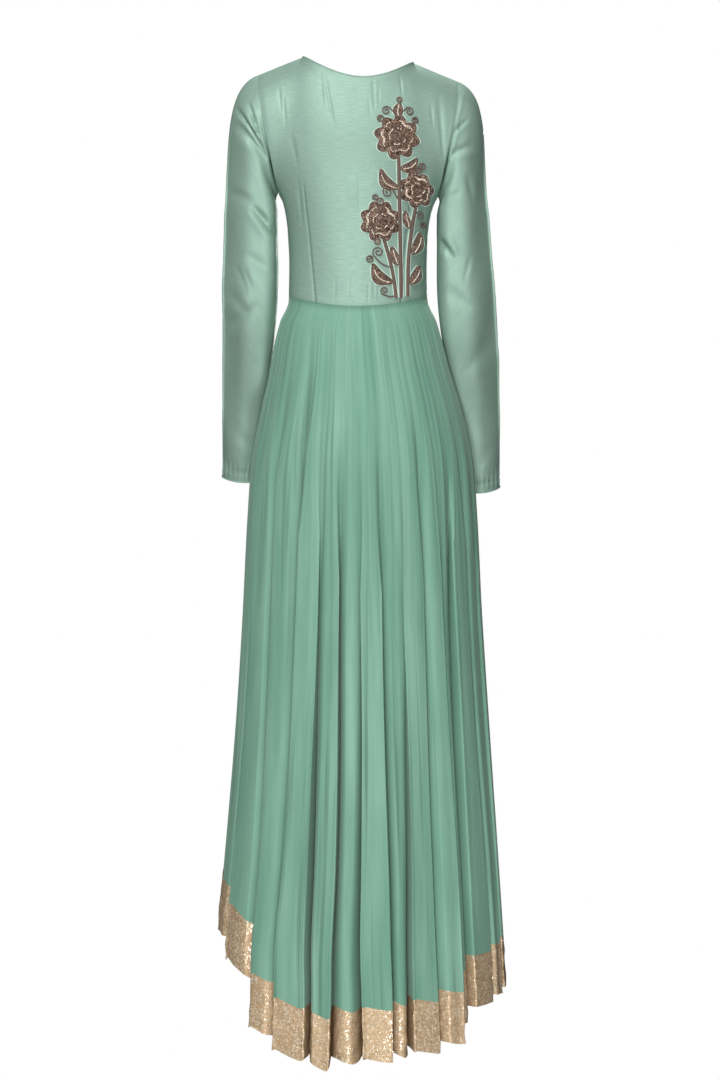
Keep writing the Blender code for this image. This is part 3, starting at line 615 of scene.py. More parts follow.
def bezier(start, near_start, near_end, end, t):
    s = 1 - t
    return s**3 * start + 3 * s * s * t * near_start + 3 * s * t * t * near_end + t**3 * end


def unit(vectors):
    return vectors / np.maximum(np.linalg.norm(vectors, axis=-1, keepdims=True), 1e-12)


def posed(points):
    """The points once the gown's left shoulder is held a little higher than the right one."""
    share = ease((points[..., 2] - STEADY_BELOW) / (TILTED_ABOVE - STEADY_BELOW))
    moved = points.copy()
    moved[..., 2] -= SHOULDER_TILT * np.tanh(points[..., 0] / TILT_SPREAD) * share
    return moved


def waist_height(side, across):
    return WAIST_SIDE_HEIGHT - WAIST_DIP[side] * np.cos(np.radians(90 * across)) ** 2


def torso_point(side, across, height):
    """Points of the fitted part below the underarm; across runs from -1 to 1 between the side seams."""
    angle = np.radians(90 * across)
    out = -1 if side == "back" else 1
    depth = read(TORSO, side, height) * np.maximum(0.0, np.cos(angle)) ** SIDE_ROUNDNESS
    if side == "front":
        aside = (np.abs(across) - BUST_ACROSS) / BUST_SPREAD[0]
        above = (height - BUST_HEIGHT) / BUST_SPREAD[1]
        depth = depth + BUST * np.exp(-aside * aside - above * above)
    return points_of(read(TORSO, "half_width", height) * np.sin(angle), out * depth, height)


def top_edge(side, across):
    """The panel's top edge: the neckline in the middle, then the shoulder seam to its tip."""
    out = -1 if side == "back" else 1
    share = np.abs(across)
    along = ((share - NECK_SHARE) / (1 - NECK_SHARE))[..., None]
    neck_point = np.array((NECK_HALF_WIDTH, 0.0, 0.0))
    shoulder = neck_point + along * (SHOULDER_TIP - neck_point)
    angle = np.radians(90 * np.minimum(share / NECK_SHARE, 1.0))
    x = NECK_HALF_WIDTH * np.sin(angle)
    power, fullness = NECK_CURVE[side]
    drop = NECK_DEPTH[side] * np.maximum(0.0, 1 - (x / NECK_HALF_WIDTH) ** power) ** fullness
    neck = points_of(x, out * NECK_REACH[side] * np.cos(angle), -drop)
    edge = np.where((share >= NECK_SHARE)[..., None], shoulder, neck)
    edge[..., 0] = np.copysign(edge[..., 0], across)
    return edge


def yoke_point(side, across, t):
    """Points above the underarm, on the upright lines that start at across; t is 0 there and 1 on top."""
    out = -1 if side == "back" else 1
    aside = np.copysign(1.0, across)
    pull = {name: read(UPRIGHTS[side], name, np.abs(across)) for name in Upright._fields[1:]}
    low = torso_point(side, across, np.full_like(across, UNDERARM_HEIGHT))
    top = top_edge(side, across)
    near_low = low + points_of(aside * pull["low_side"], out * pull["low_out"], pull["low_up"])
    near_top = top + points_of(aside * pull["high_side"], out * pull["high_out"], -pull["high_down"])
    return bezier(low, near_low, near_top, top, t)


def bodice_points(side):
    """Rows from the waist up, each from the gown's left side to its right."""
    across = np.linspace(-1, 1, BODICE_ACROSS + 1)
    neck_column = round(BODICE_ACROSS * (1 - NECK_SHARE) / 2)
    across[neck_column] = -NECK_SHARE
    across[-1 - neck_column] = NECK_SHARE
    low = waist_height(side, across)
    rows = []
    for share in np.linspace(0, 1, BODICE_LOW_ROWS, endpoint=False):
        rows.append(torso_point(side, across, low + share * (UNDERARM_HEIGHT - low)))
    for t in np.linspace(0, 1, YOKE_ROWS + 1):
        row = yoke_point(side, across, t)
        calm = ease((1 - t) / CORNER_FADE) * ease(t / CORNER_START)
        rows.append(row + calm * (smoothed(row, CORNER_PASSES) - row))
    points = np.array(rows)
    near = bell(np.arange(len(points)) - BODICE_LOW_ROWS, UNDERARM_ROWS)
    inner = ease((1 - np.abs(across)) / UNDERARM_KEEP)
    share = (near[:, None] * inner)[..., None]
    return posed(points + share * (smoothed(points, UNDERARM_PASSES) - points))


def smoothed(row, passes):
    """The row with its corners rounded off, its ends kept."""
    row = row.copy()
    for _ in range(passes):
        row[1:-1] = (row[:-2] + 2 * row[1:-1] + row[2:]) / 4
    return row


def armhole(aside):
    """The armhole's loop: from the underarm up the back to the shoulder tip, then down the front."""
    steps = np.linspace(0, 1, SLEEVE_AROUND // 2 + 1)
    edge = np.array([float(aside)])
    back = [yoke_point("back", edge, t)[0] for t in steps]
    return np.array(back + [yoke_point("front", edge, t)[0] for t in steps[-2:0:-1]])


def arm_swell(turn, heights, end):
    """How far back or forward the sleeve reaches round a ring, as a share of its half depth."""
    inner_share, plain = np.cos(turn), np.sin(turn)
    rise = (np.maximum(1 + inner_share, 1e-6) / (1 + ARM_RIDGE)) ** OUTER_SLOPE
    fall = np.sqrt(np.maximum(1 - np.maximum(inner_share, 0.0) ** INNER_FLATNESS, 1e-9))
    ridged = (rise**-RIDGE_SHARPNESS + fall**-RIDGE_SHARPNESS) ** (-1 / RIDGE_SHARPNESS)
    ridged = np.where(plain > 0, np.minimum(ridged, 1.0), plain)
    ridged = plain + ease(plain / RIDGE_START) * (ridged - plain)
    share = (CUFF_RIDGE + (1 - CUFF_RIDGE) * ease((heights - end) / RIDGE_FADE))[:, None]
    return plain + share * (ridged - plain)


def sleeve_rings(name, heights):
    """A ring of points round the arm at each height."""
    aside = -1 if name == "left" else 1
    sections = SLEEVES[name]

    def centre(height):
        middle = (read(sections, "outer", height) + read(sections, "inner", height)) / 2
        return points_of(aside * middle, read(sections, "forward", height), height)

    top, end = sections[0].height, sections[-1].height
    above = np.minimum(heights + AXIS_STEP, top)
    below = np.maximum(heights - AXIS_STEP, end)
    down = unit(centre(below) - centre(above))
    inward = unit(np.array((-aside, 0.0, 0.0)) + aside * down[:, :1] * down)
    back = aside * np.cross(inward, down)
    half_width = (read(sections, "outer", heights) - read(sections, "inner", heights)) / 2
    turn = 2 * math.pi * np.arange(SLEEVE_AROUND) / SLEEVE_AROUND
    turn = turn - INNER_CROWD * np.sin(turn)
    sideways = half_width[:, None, None] * np.cos(turn)[None, :, None] * inward[:, None]
    depth = read(sections, "half_depth", heights)
    backward = depth[:, None, None] * arm_swell(turn, heights, end)[..., None] * back[:, None]
    return centre(heights)[:, None] + sideways + backward


def sleeve_points(name):
    """Rings from the armhole to the cuff."""
    aside = -1 if name == "left" else 1
    sections = SLEEVES[name]
    heights = np.linspace(sections[0].height, sections[-1].height, ARM_ROWS)
    arm = sleeve_rings(name, heights)
    start = armhole(aside)
    over = (1 - np.cos(2 * math.pi * np.arange(SLEEVE_AROUND) / SLEEVE_AROUND)) / 2
    leave = unit(UNDERARM_LEAVE + over[:, None] * (SHOULDER_LEAVE - UNDERARM_LEAVE))
    leave[:, 0] *= aside
    reach = np.linalg.norm(arm[0] - start, axis=1)
    rise = points_of(-aside * SLEEVE_LEAN[name] * over, 0.0 * over, 1.0 + 0.0 * over)
    near_start = start + CAP_LEAVE * reach[:, None] * leave
    near_end = arm[0] + CAP_RISE * reach[:, None] * rise
    steps = np.linspace(0, 1, CAP_ROWS, endpoint=False)
    cap = [bezier(start, near_start, near_end, arm[0], t) for t in steps]
    return posed(np.concatenate([cap, arm]))


def hem_height(angle):
    """The hem's height at an angle, on a curve that closes on itself after a full turn."""
    first = HEM[0].angle
    wrapped = [HemPoint(HEM[-1].angle - 360, HEM[-1].height), *HEM]
    wrapped += [HemPoint(row.angle + 360, row.height) for row in HEM[:2]]
    return read(wrapped, "height", (angle - first) % 360 + first)


def band_top(angle):
    """The height of the gold band's upper edge, a band's width above the slanting hem."""
    climb = hem_height(angle + HEM_STEP) - hem_height(angle - HEM_STEP)
    run = math.radians(2 * HEM_STEP) * HEM_RADIUS * FOLD_FULLNESS
    return hem_height(angle) + BAND_WIDTH * np.hypot(1, climb / run)


def valley_values(column, numbers):
    values = np.array([getattr(row, column) for row in VALLEYS], float)
    return values[numbers % len(VALLEYS)]


def valley_angles(column, numbers):
    return valley_values(column, numbers) + 360 * (numbers // len(VALLEYS))


def catmull(values, at):
    """A smooth curve through equally spaced values, each a row over the columns, read at a place in each."""
    i = np.clip(np.floor(at).astype(int), 0, len(values) - 2)
    t = at - i
    column = np.arange(len(at))

    def pick(k):
        return values[np.clip(k, 0, len(values) - 1), column]

    before, here, after, beyond = pick(i - 1), pick(i), pick(i + 1), pick(i + 2)
    return 0.5 * (
        2 * here
        + (after - before) * t
        + (2 * before - 5 * here + 4 * after - beyond) * t**2
        + (3 * here - before - 3 * after + beyond) * t**3
    )


def fold_edge(covering, spread, width_share):
    """The along and inward values of a fold's side, for each column, between the two kinds of edge."""
    along = []
    inward = []
    for over, under in zip(COVERING_EDGE, COVERED_EDGE):
        slope_along = under.along * np.where(under.along > 0, spread, 1.0)
        along.append((covering * over.along + (1 - covering) * slope_along) * width_share)
        inward.append(covering * over.inward + (1 - covering) * under.inward)
    return np.array(along), np.array(inward)


def fold_profile(numbers, shares):
    """For each column: where it lies across its fold, and how much of each side's valley depth it has."""
    width = valley_angles("hem_angle", numbers + 1) - valley_angles("hem_angle", numbers)
    before = valley_angles("hem_angle", numbers) - valley_angles("hem_angle", numbers - 1)
    after = valley_angles("hem_angle", numbers + 2) - valley_angles("hem_angle", numbers + 1)
    left_share = (width + before) / 2 / width
    right_share = (width + after) / 2 / width
    left_over = (1 - valley_values("lap", numbers)) / 2
    right_over = (1 + valley_values("lap", numbers + 1)) / 2
    left_along, left_in = fold_edge(left_over, valley_values("spread", numbers), left_share)
    right_along, right_in = fold_edge(right_over, valley_values("spread", numbers + 1), right_share)
    place = shares * (2 * len(COVERING_EDGE) - 1)
    across = catmull(np.concatenate([left_along, 1 - right_along[::-1]]), place)
    empty = np.zeros_like(left_in)
    left = catmull(np.concatenate([left_in, empty]), place)
    right = catmull(np.concatenate([empty, right_in[::-1]]), place)
    return across, left, right


def fold_columns(first, last):
    """For each column between two valleys: its fold's number, and how far across the fold it lies."""
    numbers = np.append(np.repeat(np.arange(first, last), FOLD_COLUMNS), last)
    shares = np.append(np.tile(np.arange(FOLD_COLUMNS) / FOLD_COLUMNS, last - first), 0.0)
    return numbers, shares


def between(column, numbers, across):
    """An angle part of the way from each fold's first valley to its next one."""
    low = valley_angles(column, numbers)
    return low + across * (valley_angles(column, numbers + 1) - low)


def side_share(turn):
    """Where a direction lies between the side seams, from -1 to 1."""
    return np.degrees(np.arcsin(np.sin(turn))) / 90


def by_side(turn, back, front):
    return np.where(np.cos(turn) >= 0, back, front)


def skirt_heights(numbers, shares, open_across, wall, down, in_band):
    """The heights of the waist and hem over each column, and of each point."""
    turn = np.radians(between("high_angle", numbers, shares))
    across = side_share(turn)
    waist = by_side(turn, waist_height("back", across), waist_height("front", across))
    flat_angle = between("hem_angle", numbers, 0.5)
    wall_angle = between("hem_angle", numbers, np.clip(open_across, 0.0, 1.0))
    aside = 2 * open_across - 1
    fall = valley_values("slant", numbers) * (aside - CORNER_LIFT * aside**5) * (1 - wall)
    hem = hem_height(flat_angle) * (1 - wall) + hem_height(wall_angle) * wall - fall
    cloth_end = band_top(flat_angle) * (1 - wall) + band_top(wall_angle) * wall - fall
    return waist, hem, waist + down * (cloth_end - waist) + in_band * (hem - cloth_end)


def valley_depth(which, drop):
    """How deep a valley is, that far below the waist."""
    grown = ease((drop - valley_values("start", which)) / FOLD_GROWTH)
    sway = 1 + DEPTH_SWAY * np.sin(drop * DEPTH_SWAY_PITCH + which * SWAY_TURN)
    ripple = WAIST_RIPPLE * ease(drop / RIPPLE_LENGTH)
    return ripple + (valley_values("depth", which) * sway - WAIST_RIPPLE) * grown


def valley_angle(which, drop, low_share):
    """Where a valley lies round the skirt: it runs from its high angle to its hem angle, and sways."""
    high, low = valley_angles("high_angle", which), valley_angles("hem_angle", which)
    sway = ANGLE_SWAY * low_share * np.sin(drop * ANGLE_SWAY_PITCH + which * SWAY_TURN)
    return high + low_share * (low - high) + sway


def fold_depth(numbers, shares, profile, drop):
    """How far each point lies in from the crests, and how far its ripple has opened into a fold."""
    open_across, left, right = profile
    left_depth, right_depth = valley_depth(numbers, drop), valley_depth(numbers + 1, drop)
    opened = np.minimum(1.0, (left_depth + right_depth) / 2 / FULL_FOLD)
    wave = 2 * math.pi * shares
    closed_in = np.where(shares < 0.5, left_depth, right_depth) * ((1 + np.cos(wave)) / 2)
    face = np.clip(1 - left - right, 0.0, 1.0)
    leaning = valley_values("recess", numbers) + valley_values("tilt", numbers) * (open_across - 0.5)
    open_in = left_depth * left + right_depth * right + face * ease(drop / FOLD_GROWTH) * leaning
    grown = ease((drop - PLEAT_START) / PLEAT_FADE)
    wander = FACE_RIPPLES * open_across + FACE_TURN * numbers + FACE_DRIFT * drop
    swell = FACE_STEADY + (1 - FACE_STEADY) * np.sin(SWAY_TURN * numbers + DEPTH_SWAY_PITCH * drop)
    rippled = FACE_RIPPLE * face * swell * grown * np.sin(2 * math.pi * wander)
    pleat = PLEAT_DEPTH * ease(drop / RIPPLE_LENGTH) * (1 - grown)
    pleated = pleat * (0.5 + 0.5 * np.cos(PLEATS_PER_FOLD * wave + PLEAT_TURN * numbers)) ** PLEAT_SHARPNESS
    return closed_in + opened * (open_in - closed_in) + rippled + pleated, opened


def skirt_crest(turn, height, waist, drop):
    """The skirt's form before its folds, and the way that it faces."""
    half_width = read(SKIRT, "half_width", height)
    reach = by_side(turn, read(SKIRT, "back", height), read(SKIRT, "front", height))
    outward = unit(points_of(np.sin(turn) / half_width, -np.cos(turn) / reach, 0.0 * height))
    flared = points_of(half_width * np.sin(turn), -reach * np.cos(turn), height)
    across = side_share(turn)
    sewn_height = waist + 0.0 * height
    sewn_back = torso_point("back", across, sewn_height)
    sewn = by_side(turn[..., None], sewn_back, torso_point("front", across, sewn_height))
    sewn[..., 2] = height
    return sewn + ease(drop / FLARE_LENGTH)[..., None] * (flared - sewn), outward


def skirt_points(first, last, downs, in_bands):
    """Rows of points between two valleys: down from the waist to the band, and in the band to the hem.

    Also where each point lies on the flat cloth, and how much painted shade it takes in a hollow, from 0 to
    1.
    """
    numbers, shares = fold_columns(first, last)
    open_across, left, right = fold_profile(numbers, shares)
    wall = np.clip(left + right, 0.0, 1.0)
    down = downs[:, None]
    waist, hem, height = skirt_heights(numbers, shares, open_across, wall, down, in_bands[:, None])
    drop = waist - height
    depth, opened = fold_depth(numbers, shares, (open_across, left, right), drop)
    low_share = ease(drop / (waist - hem))
    start = valley_angle(numbers, drop, low_share)
    across = shares + opened * (open_across - shares)
    turn = np.radians(start + across * (valley_angle(numbers + 1, drop, low_share) - start))
    crest, outward = skirt_crest(turn, height, waist, drop)
    points = crest - depth[..., None] * outward
    points[..., 0] += read(SKIRT, "centre", height)
    points[..., 2] += opened * down * VALLEY_LIFT * wall
    along = FOLD_WIDTH * (numbers + open_across)
    cloth = np.stack([along + 0.0 * height, drop], axis=-1)
    # The last value is the painted shade, strongest deep in an opened valley
    return points, cloth, opened * wall**HOLLOW_FALL


def grid_normals(points, closed):
    """Unit normals of a grid, facing away from the middle of each row."""
    if closed:
        across = np.roll(points, -1, axis=1) - np.roll(points, 1, axis=1)
    else:
        across = np.gradient(points, axis=1)
    normals = unit(np.cross(across, np.gradient(points, axis=0)))
    middle = points.mean(axis=1, keepdims=True)
    if not closed:
        middle[..., :2] = 0.0
    if np.mean(np.sum(normals * (points - middle), axis=2)) < 0:
        normals = -normals
    return normals


def creased(points, creases, keep):
    """How far out each point moves: a soft trough along every crease, with a ridge beside it."""
    x, z = points[..., 0], points[..., 2]
    moved = np.zeros_like(x)
    for c in creases:
        length = math.hypot(c.x1 - c.x0, c.z1 - c.z0)
        dx, dz = (c.x1 - c.x0) / length, (c.z1 - c.z0) / length
        along = np.clip(((x - c.x0) * dx + (z - c.z0) * dz) / length, 0.0, 1.0)
        aside = (z - c.z0) * dx - (x - c.x0) * dz
        taper = np.sin(math.pi * along) ** CREASE_TAPER
        width = c.width * (CREASE_THIN + (1 - CREASE_THIN) * (1 - along))
        ridge = bell(aside - RIDGE_OFFSET * width, RIDGE_WIDTH * width)
        moved += c.depth * taper * (RIDGE_SHARE * ridge - bell(aside, width))
    return moved * keep


def line_distance(x, z, line):
    """The distance from each point to a line through several points."""
    nearest = np.full_like(x, np.inf)
    for (x0, z0), (x1, z1) in zip(line, line[1:]):
        length2 = (x1 - x0) ** 2 + (z1 - z0) ** 2
        t = np.clip(((x - x0) * (x1 - x0) + (z - z0) * (z1 - z0)) / length2, 0.0, 1.0)
        nearest = np.minimum(nearest, np.hypot(x - x0 - t * (x1 - x0), z - z0 - t * (z1 - z0)))
    return nearest


def unevenness(points, kind, seed):
    """Soft waves in fixed directions, as deep and long as that kind of cloth has them."""
    rng = np.random.default_rng(UNEVEN_SEED[seed])
    directions = unit(rng.normal(size=(WAVES, 3)))
    phases = rng.uniform(0, 2 * math.pi, WAVES)
    total = np.zeros(points.shape[:-1])
    for direction, phase in zip(directions, phases):
        total += np.sin(points @ direction * 2 * math.pi / UNEVEN_LENGTH[kind] + phase)
    return UNEVEN[kind] * total / math.sqrt(WAVES)


def run_lengths(points, axis):
    """How far each point lies along the cloth from the first row, or from the first column."""
    steps = np.linalg.norm(np.diff(points, axis=axis), axis=2)
    start = np.zeros_like(np.take(steps, [0], axis=axis))
    return np.concatenate([start, np.cumsum(steps, axis=axis)], axis=axis)


def edge_distance(points):
    """The distance of each point along the cloth from the nearest edge of its panel."""
    from_first, from_left = run_lengths(points, 0), run_lengths(points, 1)
    from_last, from_right = from_first[-1:] - from_first, from_left[:, -1:] - from_left
    return np.minimum.reduce([from_first, from_last, from_left, from_right])


def seam_line(edge, z):
    """How plainly a sewn edge shows: most where the sleeve folds over it beside the underarm, where its
    darker line is painted shade.
    """
    return bell(edge, SEAM_REACH) * (SEAM_FAINT + (1 - SEAM_FAINT) * bell(z - SEAM_DEEPEST, SEAM_SPREAD))


def cloth_place(points, closed):
    """Where each point lies on the flat cloth: metres across it and along it."""
    if closed:
        points = np.concatenate([points, points[:, :1]], axis=1)
    across = run_lengths(points, 1)
    across -= across[:, across.shape[1] // 2][:, None]
    return np.stack([across, run_lengths(points, 0)], axis=-1)


def shell_faces(rows, columns, closed):
    """A shell's faces outside, inside and at its rims: point numbers, and the corners' UV numbers."""
    size = rows * columns
    uv_columns = columns + 1 if closed else columns
    faces, corners = [], []

    def quads(*ends):
        faces.append(np.stack([r * columns + c % columns + inside * size for r, c, inside in ends], 1))
        corners.append(np.stack([r * uv_columns + c for r, c, _ in ends], 1))

    steps = np.arange(columns if closed else columns - 1)
    r, c = (grid.ravel() for grid in np.meshgrid(np.arange(rows - 1), steps, indexing="ij"))
    quads((r, c, 0), (r, c + 1, 0), (r + 1, c + 1, 0), (r + 1, c, 0))
    quads((r + 1, c, 1), (r + 1, c + 1, 1), (r, c + 1, 1), (r, c, 1))
    c, end = steps, rows - 1
    quads((0, c, 0), (0, c, 1), (0, c + 1, 1), (0, c + 1, 0))
    quads((end, c + 1, 0), (end, c + 1, 1), (end, c, 1), (end, c, 0))
    if not closed:
        r, end = np.arange(rows - 1), columns - 1
        quads((r + 1, 0, 0), (r + 1, 0, 1), (r, 0, 1), (r, 0, 0))
        quads((r, end, 0), (r, end, 1), (r + 1, end, 1), (r + 1, end, 0))
    return np.concatenate(faces), np.concatenate(corners)


def made_object(name, mesh, finish):
    """An object in the scene with that mesh and finish, smooth but for its sharp edges."""
    mesh.shade_smooth()
    mesh.set_sharp_from_angle(angle=math.radians(SHARP_EDGE))
    mesh.materials.append(finish)
    return linked(name, mesh)


def linked(name, data):
    made = bpy.data.objects.new(name, data)
    bpy.context.scene.collection.objects.link(made)
    return made


def shell(name, outer, wall, finish, shade, closed=False, cloth=None):
    """A thin closed shell on a grid of points, with its wall on the inside and the cloth's own UV map."""
    normals = grid_normals(outer, closed)
    points = np.concatenate([outer.reshape(-1, 3), (outer - wall * normals).reshape(-1, 3)])
    faces, corners = shell_faces(*outer.shape[:2], closed)
    quad = points[faces[0]]
    if np.dot(np.cross(quad[2] - quad[0], quad[3] - quad[1]), normals[0, 0]) < 0:
        faces, corners = faces[:, ::-1], corners[:, ::-1]
    mesh = bpy.data.meshes.new(name)
    mesh.from_pydata(points.tolist(), [], faces.tolist())
    place = (cloth_place(outer, closed) if cloth is None else cloth).reshape(-1, 2)
    layer = mesh.uv_layers.new(name="cloth")
    layer.data.foreach_set("uv", place[corners.ravel()].astype(np.float32).ravel())
    # The darker sewn lines and the painted shade, for the finish to read
    mark = mesh.attributes.new("seam", "FLOAT", "POINT")
    mark.data.foreach_set("value", np.tile(shade.ravel(), 2).astype(np.float32))
    return made_object(name, mesh, finish)


def hexed(code):
    """A colour as linear values from its ordinary red, green and blue, 0 to 255."""
    values = np.array(code) / 255
    linear = np.where(values <= 0.04045, values / 12.92, ((values + 0.055) / 1.055) ** 2.4)
    return (*linear.tolist(), 1.0)


MINT_LIGHT = hexed((151, 177, 164))
MINT_DARK = hexed((128, 157, 143))
# The darkest mint, for sewn lines and for painted shade
MINT_SEAM_AND_SHADE = hexed((72, 104, 88))
GEORGETTE_LIGHT = hexed((121, 163, 143))
GEORGETTE_DARK = hexed((92, 138, 118))
# The darkest sea green, for the waist seam and for painted shade in hollows and crinkles
GEORGETTE_SEAM_AND_SHADE = hexed((50, 88, 70))
GOLD_LIGHT = hexed((199, 173, 137))
GOLD_DARK = hexed((179, 151, 117))
GOLD_DEEP = hexed((170, 143, 109))
# Near white: the tissue's specks painted as glints
GOLD_SPECK_GLINT = hexed((255, 244, 222))
GOLD_SHADE = hexed((128, 98, 66))
BROWN_DARK = hexed((56, 40, 32))
BROWN_LIGHT = hexed((206, 172, 150))
THREAD_DARK = hexed((60, 46, 38))
THREAD_LIGHT = hexed((108, 84, 70))
HALO_LIGHT = hexed((214, 232, 220))
HALO_DARK = hexed((186, 212, 197))
# The cut beads' pale rose, painted up to near white as glints
ROSE_GLINT_LIGHT = hexed((255, 252, 244))
ROSE_DARK = hexed((236, 212, 184))


def add_node(tree, kind, inputs=(), **settings):
    """A node with its settings, and with a value or a link for each input that is named."""
    made = tree.nodes.new(kind)
    for label, value in settings.items():
        setattr(made, label, value)
    for label, value in dict(inputs).items():
        if isinstance(value, bpy.types.NodeSocket):
            tree.links.new(value, made.inputs[label])
        else:
            made.inputs[label].default_value = value
    return made


class Finish:
    """A material and short ways to add its nodes. Scales are cycles to the metre each way."""

    def __init__(self, name, roughness, **settings):
        self.material = bpy.data.materials.new(name)
        self.material.use_nodes = True
        self.tree = self.material.node_tree
        self.shader = self.tree.nodes["Principled BSDF"]
        self.shader.inputs["Roughness"].default_value = roughness
        for label, value in settings.items():
            self.shader.inputs[label.replace("_", " ")].default_value = value

    def link(self, source, target):
        self.tree.links.new(source, self.shader.inputs[target])

    def place(self, scale, source):
        """The cloth's own place, or the object's, stretched."""
        if source == "UV":
            start = add_node(self.tree, "ShaderNodeUVMap", uv_map="cloth").outputs["UV"]
        else:
            start = add_node(self.tree, "ShaderNodeTexCoord").outputs["Object"]
        return add_node(self.tree, "ShaderNodeMapping", {"Vector": start, "Scale": scale}).outputs["Vector"]

    def noise(self, scale, source="UV", detail=2.0, roughness=0.5, distortion=0.0):
        inputs = {"Vector": self.place(scale, source), "Scale": 1.0}
        inputs.update({"Detail": detail, "Roughness": roughness, "Distortion": distortion})
        return add_node(self.tree, "ShaderNodeTexNoise", inputs).outputs["Fac"]

    def cells(self, scale):
        """A value from 0 to 1 for each small cell of the object, by chance."""
        inputs = {"Vector": self.place((scale, scale, scale), "Object"), "Scale": 1.0, "Randomness": 1.0}
        colour = add_node(self.tree, "ShaderNodeTexVoronoi", inputs, feature="F1").outputs["Color"]
        return add_node(self.tree, "ShaderNodeSeparateColor", {"Color": colour}).outputs["Red"]

    def shade(self):
        """How dark each sewn line is, and the painted shade in folds and hollows, from the mesh."""
        return add_node(self.tree, "ShaderNodeAttribute", attribute_name="seam").outputs["Fac"]

    def ranged(self, value, low, high, to_low=0.0, to_high=1.0):
        """A value taken from one range to another, and kept within it."""
        inputs = {"Value": value, "From Min": low, "From Max": high, "To Min": to_low, "To Max": to_high}
        return add_node(self.tree, "ShaderNodeMapRange", inputs).outputs["Result"]

    def mixed(self, share, first, second):
        inputs = {0: share, 6: first, 7: second}
        return add_node(self.tree, "ShaderNodeMix", inputs, data_type="RGBA").outputs[2]

    def bumped(self, layers):
        """Bump nodes in a row, each with its height and how deep it is in metres."""
        normal = None
        for height, distance in layers:
            inputs = {"Height": height, "Distance": distance, "Strength": 1.0}
            if normal is not None:
                inputs["Normal"] = normal
            normal = add_node(self.tree, "ShaderNodeBump", inputs).outputs["Normal"]
        self.link(normal, "Normal")


def silk():
    """Light mint silk: fine slubs across, finer threads along, a soft sheen, and darker sewn lines, with
    painted shade on those beside the underarm and along the sleeves' inner edges.
    """
    finish = Finish(
        "mint_silk_cloth",
        0.60,
        Metallic=0.34,
        Specular_IOR_Level=0.35,
        Specular_Tint=(0.62, 0.80, 0.70, 1.0),
        Anisotropic=0.30,
    )
    slubs = finish.noise((55.0, 1300.0, 1.0), detail=4.0, roughness=0.65)
    threads = finish.noise((1500.0, 60.0, 1.0), detail=3.0, roughness=0.6)
    clouds = finish.noise((9.0, 6.0, 1.0))
    base = finish.mixed(finish.ranged(slubs, 0.38, 0.66), MINT_DARK, MINT_LIGHT)
    base = finish.mixed(finish.ranged(threads, 0.40, 0.66, to_high=0.35), base, MINT_LIGHT)
    base = finish.mixed(finish.ranged(clouds, 0.35, 0.65, to_high=0.16), base, MINT_DARK)
    # Sewn lines and painted shade both take the darkest mint
    finish.link(finish.mixed(finish.shade(), base, MINT_SEAM_AND_SHADE), "Base Color")
    finish.link(finish.ranged(slubs, 0.3, 0.7, 0.66, 0.54), "Roughness")
    finish.bumped([(slubs, 0.00010), (threads, 0.00006)])
    return finish.material


def georgette():
    """Deeper sea-green georgette: matt, with a crepe grain, fine crinkles along its length with painted
    shade in them, and painted shade in its hollows.
    """
    finish = Finish(
        "sea_green_georgette_cloth",
        0.78,
        Sheen_Weight=0.17,
        Sheen_Roughness=0.5,
        Sheen_Tint=(0.75, 1.0, 0.88, 1.0),
    )
    grain = finish.noise((1100.0, 1100.0, 1100.0), source="Object")
    lines = finish.noise((30.0, 2.5, 1.0), detail=3.0, roughness=0.6)
    crinkles = finish.noise((85.0, 1.8, 1.0))
    clouds = finish.noise((12.0, 12.0, 7.0), source="Object")
    base = finish.mixed(finish.ranged(lines, 0.35, 0.68), GEORGETTE_DARK, GEORGETTE_LIGHT)
    # Painted shade in the troughs of the crinkles
    base = finish.mixed(finish.ranged(crinkles, 0.44, 0.30, to_high=0.65), base, GEORGETTE_SEAM_AND_SHADE)
    base = finish.mixed(finish.ranged(clouds, 0.35, 0.65, to_high=0.18), base, GEORGETTE_DARK)
    base = finish.mixed(finish.ranged(grain, 0.35, 0.70, to_high=0.20), base, GEORGETTE_LIGHT)
    # A darker waist seam, and painted shade in the hollows between the folds
    finish.link(finish.mixed(finish.shade(), base, GEORGETTE_SEAM_AND_SHADE), "Base Color")
    finish.bumped([(grain, 0.00012), (lines, 0.0003), (crinkles, 0.0007)])
    return finish.material


def tissue():
    """Champagne gold tissue: crushed, metallic, with small specks painted near white as glints, and painted
    shade in its hollows.
    """
    finish = Finish("gold_tissue_cloth", 0.54, Metallic=0.30, Anisotropic=0.2)
    crush = finish.noise((170.0, 170.0, 170.0), source="Object", detail=4.0, roughness=0.6, distortion=0.8)
    creases = finish.noise((60.0, 60.0, 90.0), source="Object", detail=3.0, roughness=0.55, distortion=1.2)
    speck = finish.cells(520.0)
    bright = finish.ranged(speck, 0.74, 0.84)
    base = finish.mixed(finish.ranged(crush, 0.35, 0.65), GOLD_DARK, GOLD_LIGHT)
    base = finish.mixed(finish.ranged(creases, 0.40, 0.60, to_high=0.5), base, GOLD_DEEP)
    # Painted glints: the specks near white, and glossier too
    base = finish.mixed(finish.ranged(bright, 0.0, 1.0, to_high=0.60), base, GOLD_SPECK_GLINT)
    # Painted shade in the band's hollows between the folds
    finish.link(finish.mixed(finish.shade(), base, GOLD_SHADE), "Base Color")
    finish.link(finish.ranged(bright, 0.0, 1.0, 0.56, 0.24), "Roughness")
    finish.bumped([(creases, 0.0005), (crush, 0.0004), (speck, 0.0004)])
    return finish.material


def beads(name, dark, light, metallic):
    """Small glass and metal beads, each of its own tone: many dark, some brown, a few bright."""
    finish = Finish(name, 0.30, Metallic=metallic)
    tone = finish.ranged(finish.cells(560.0), 0.30, 0.95)
    finish.link(finish.mixed(tone, dark, light), "Base Color")
    return finish.material


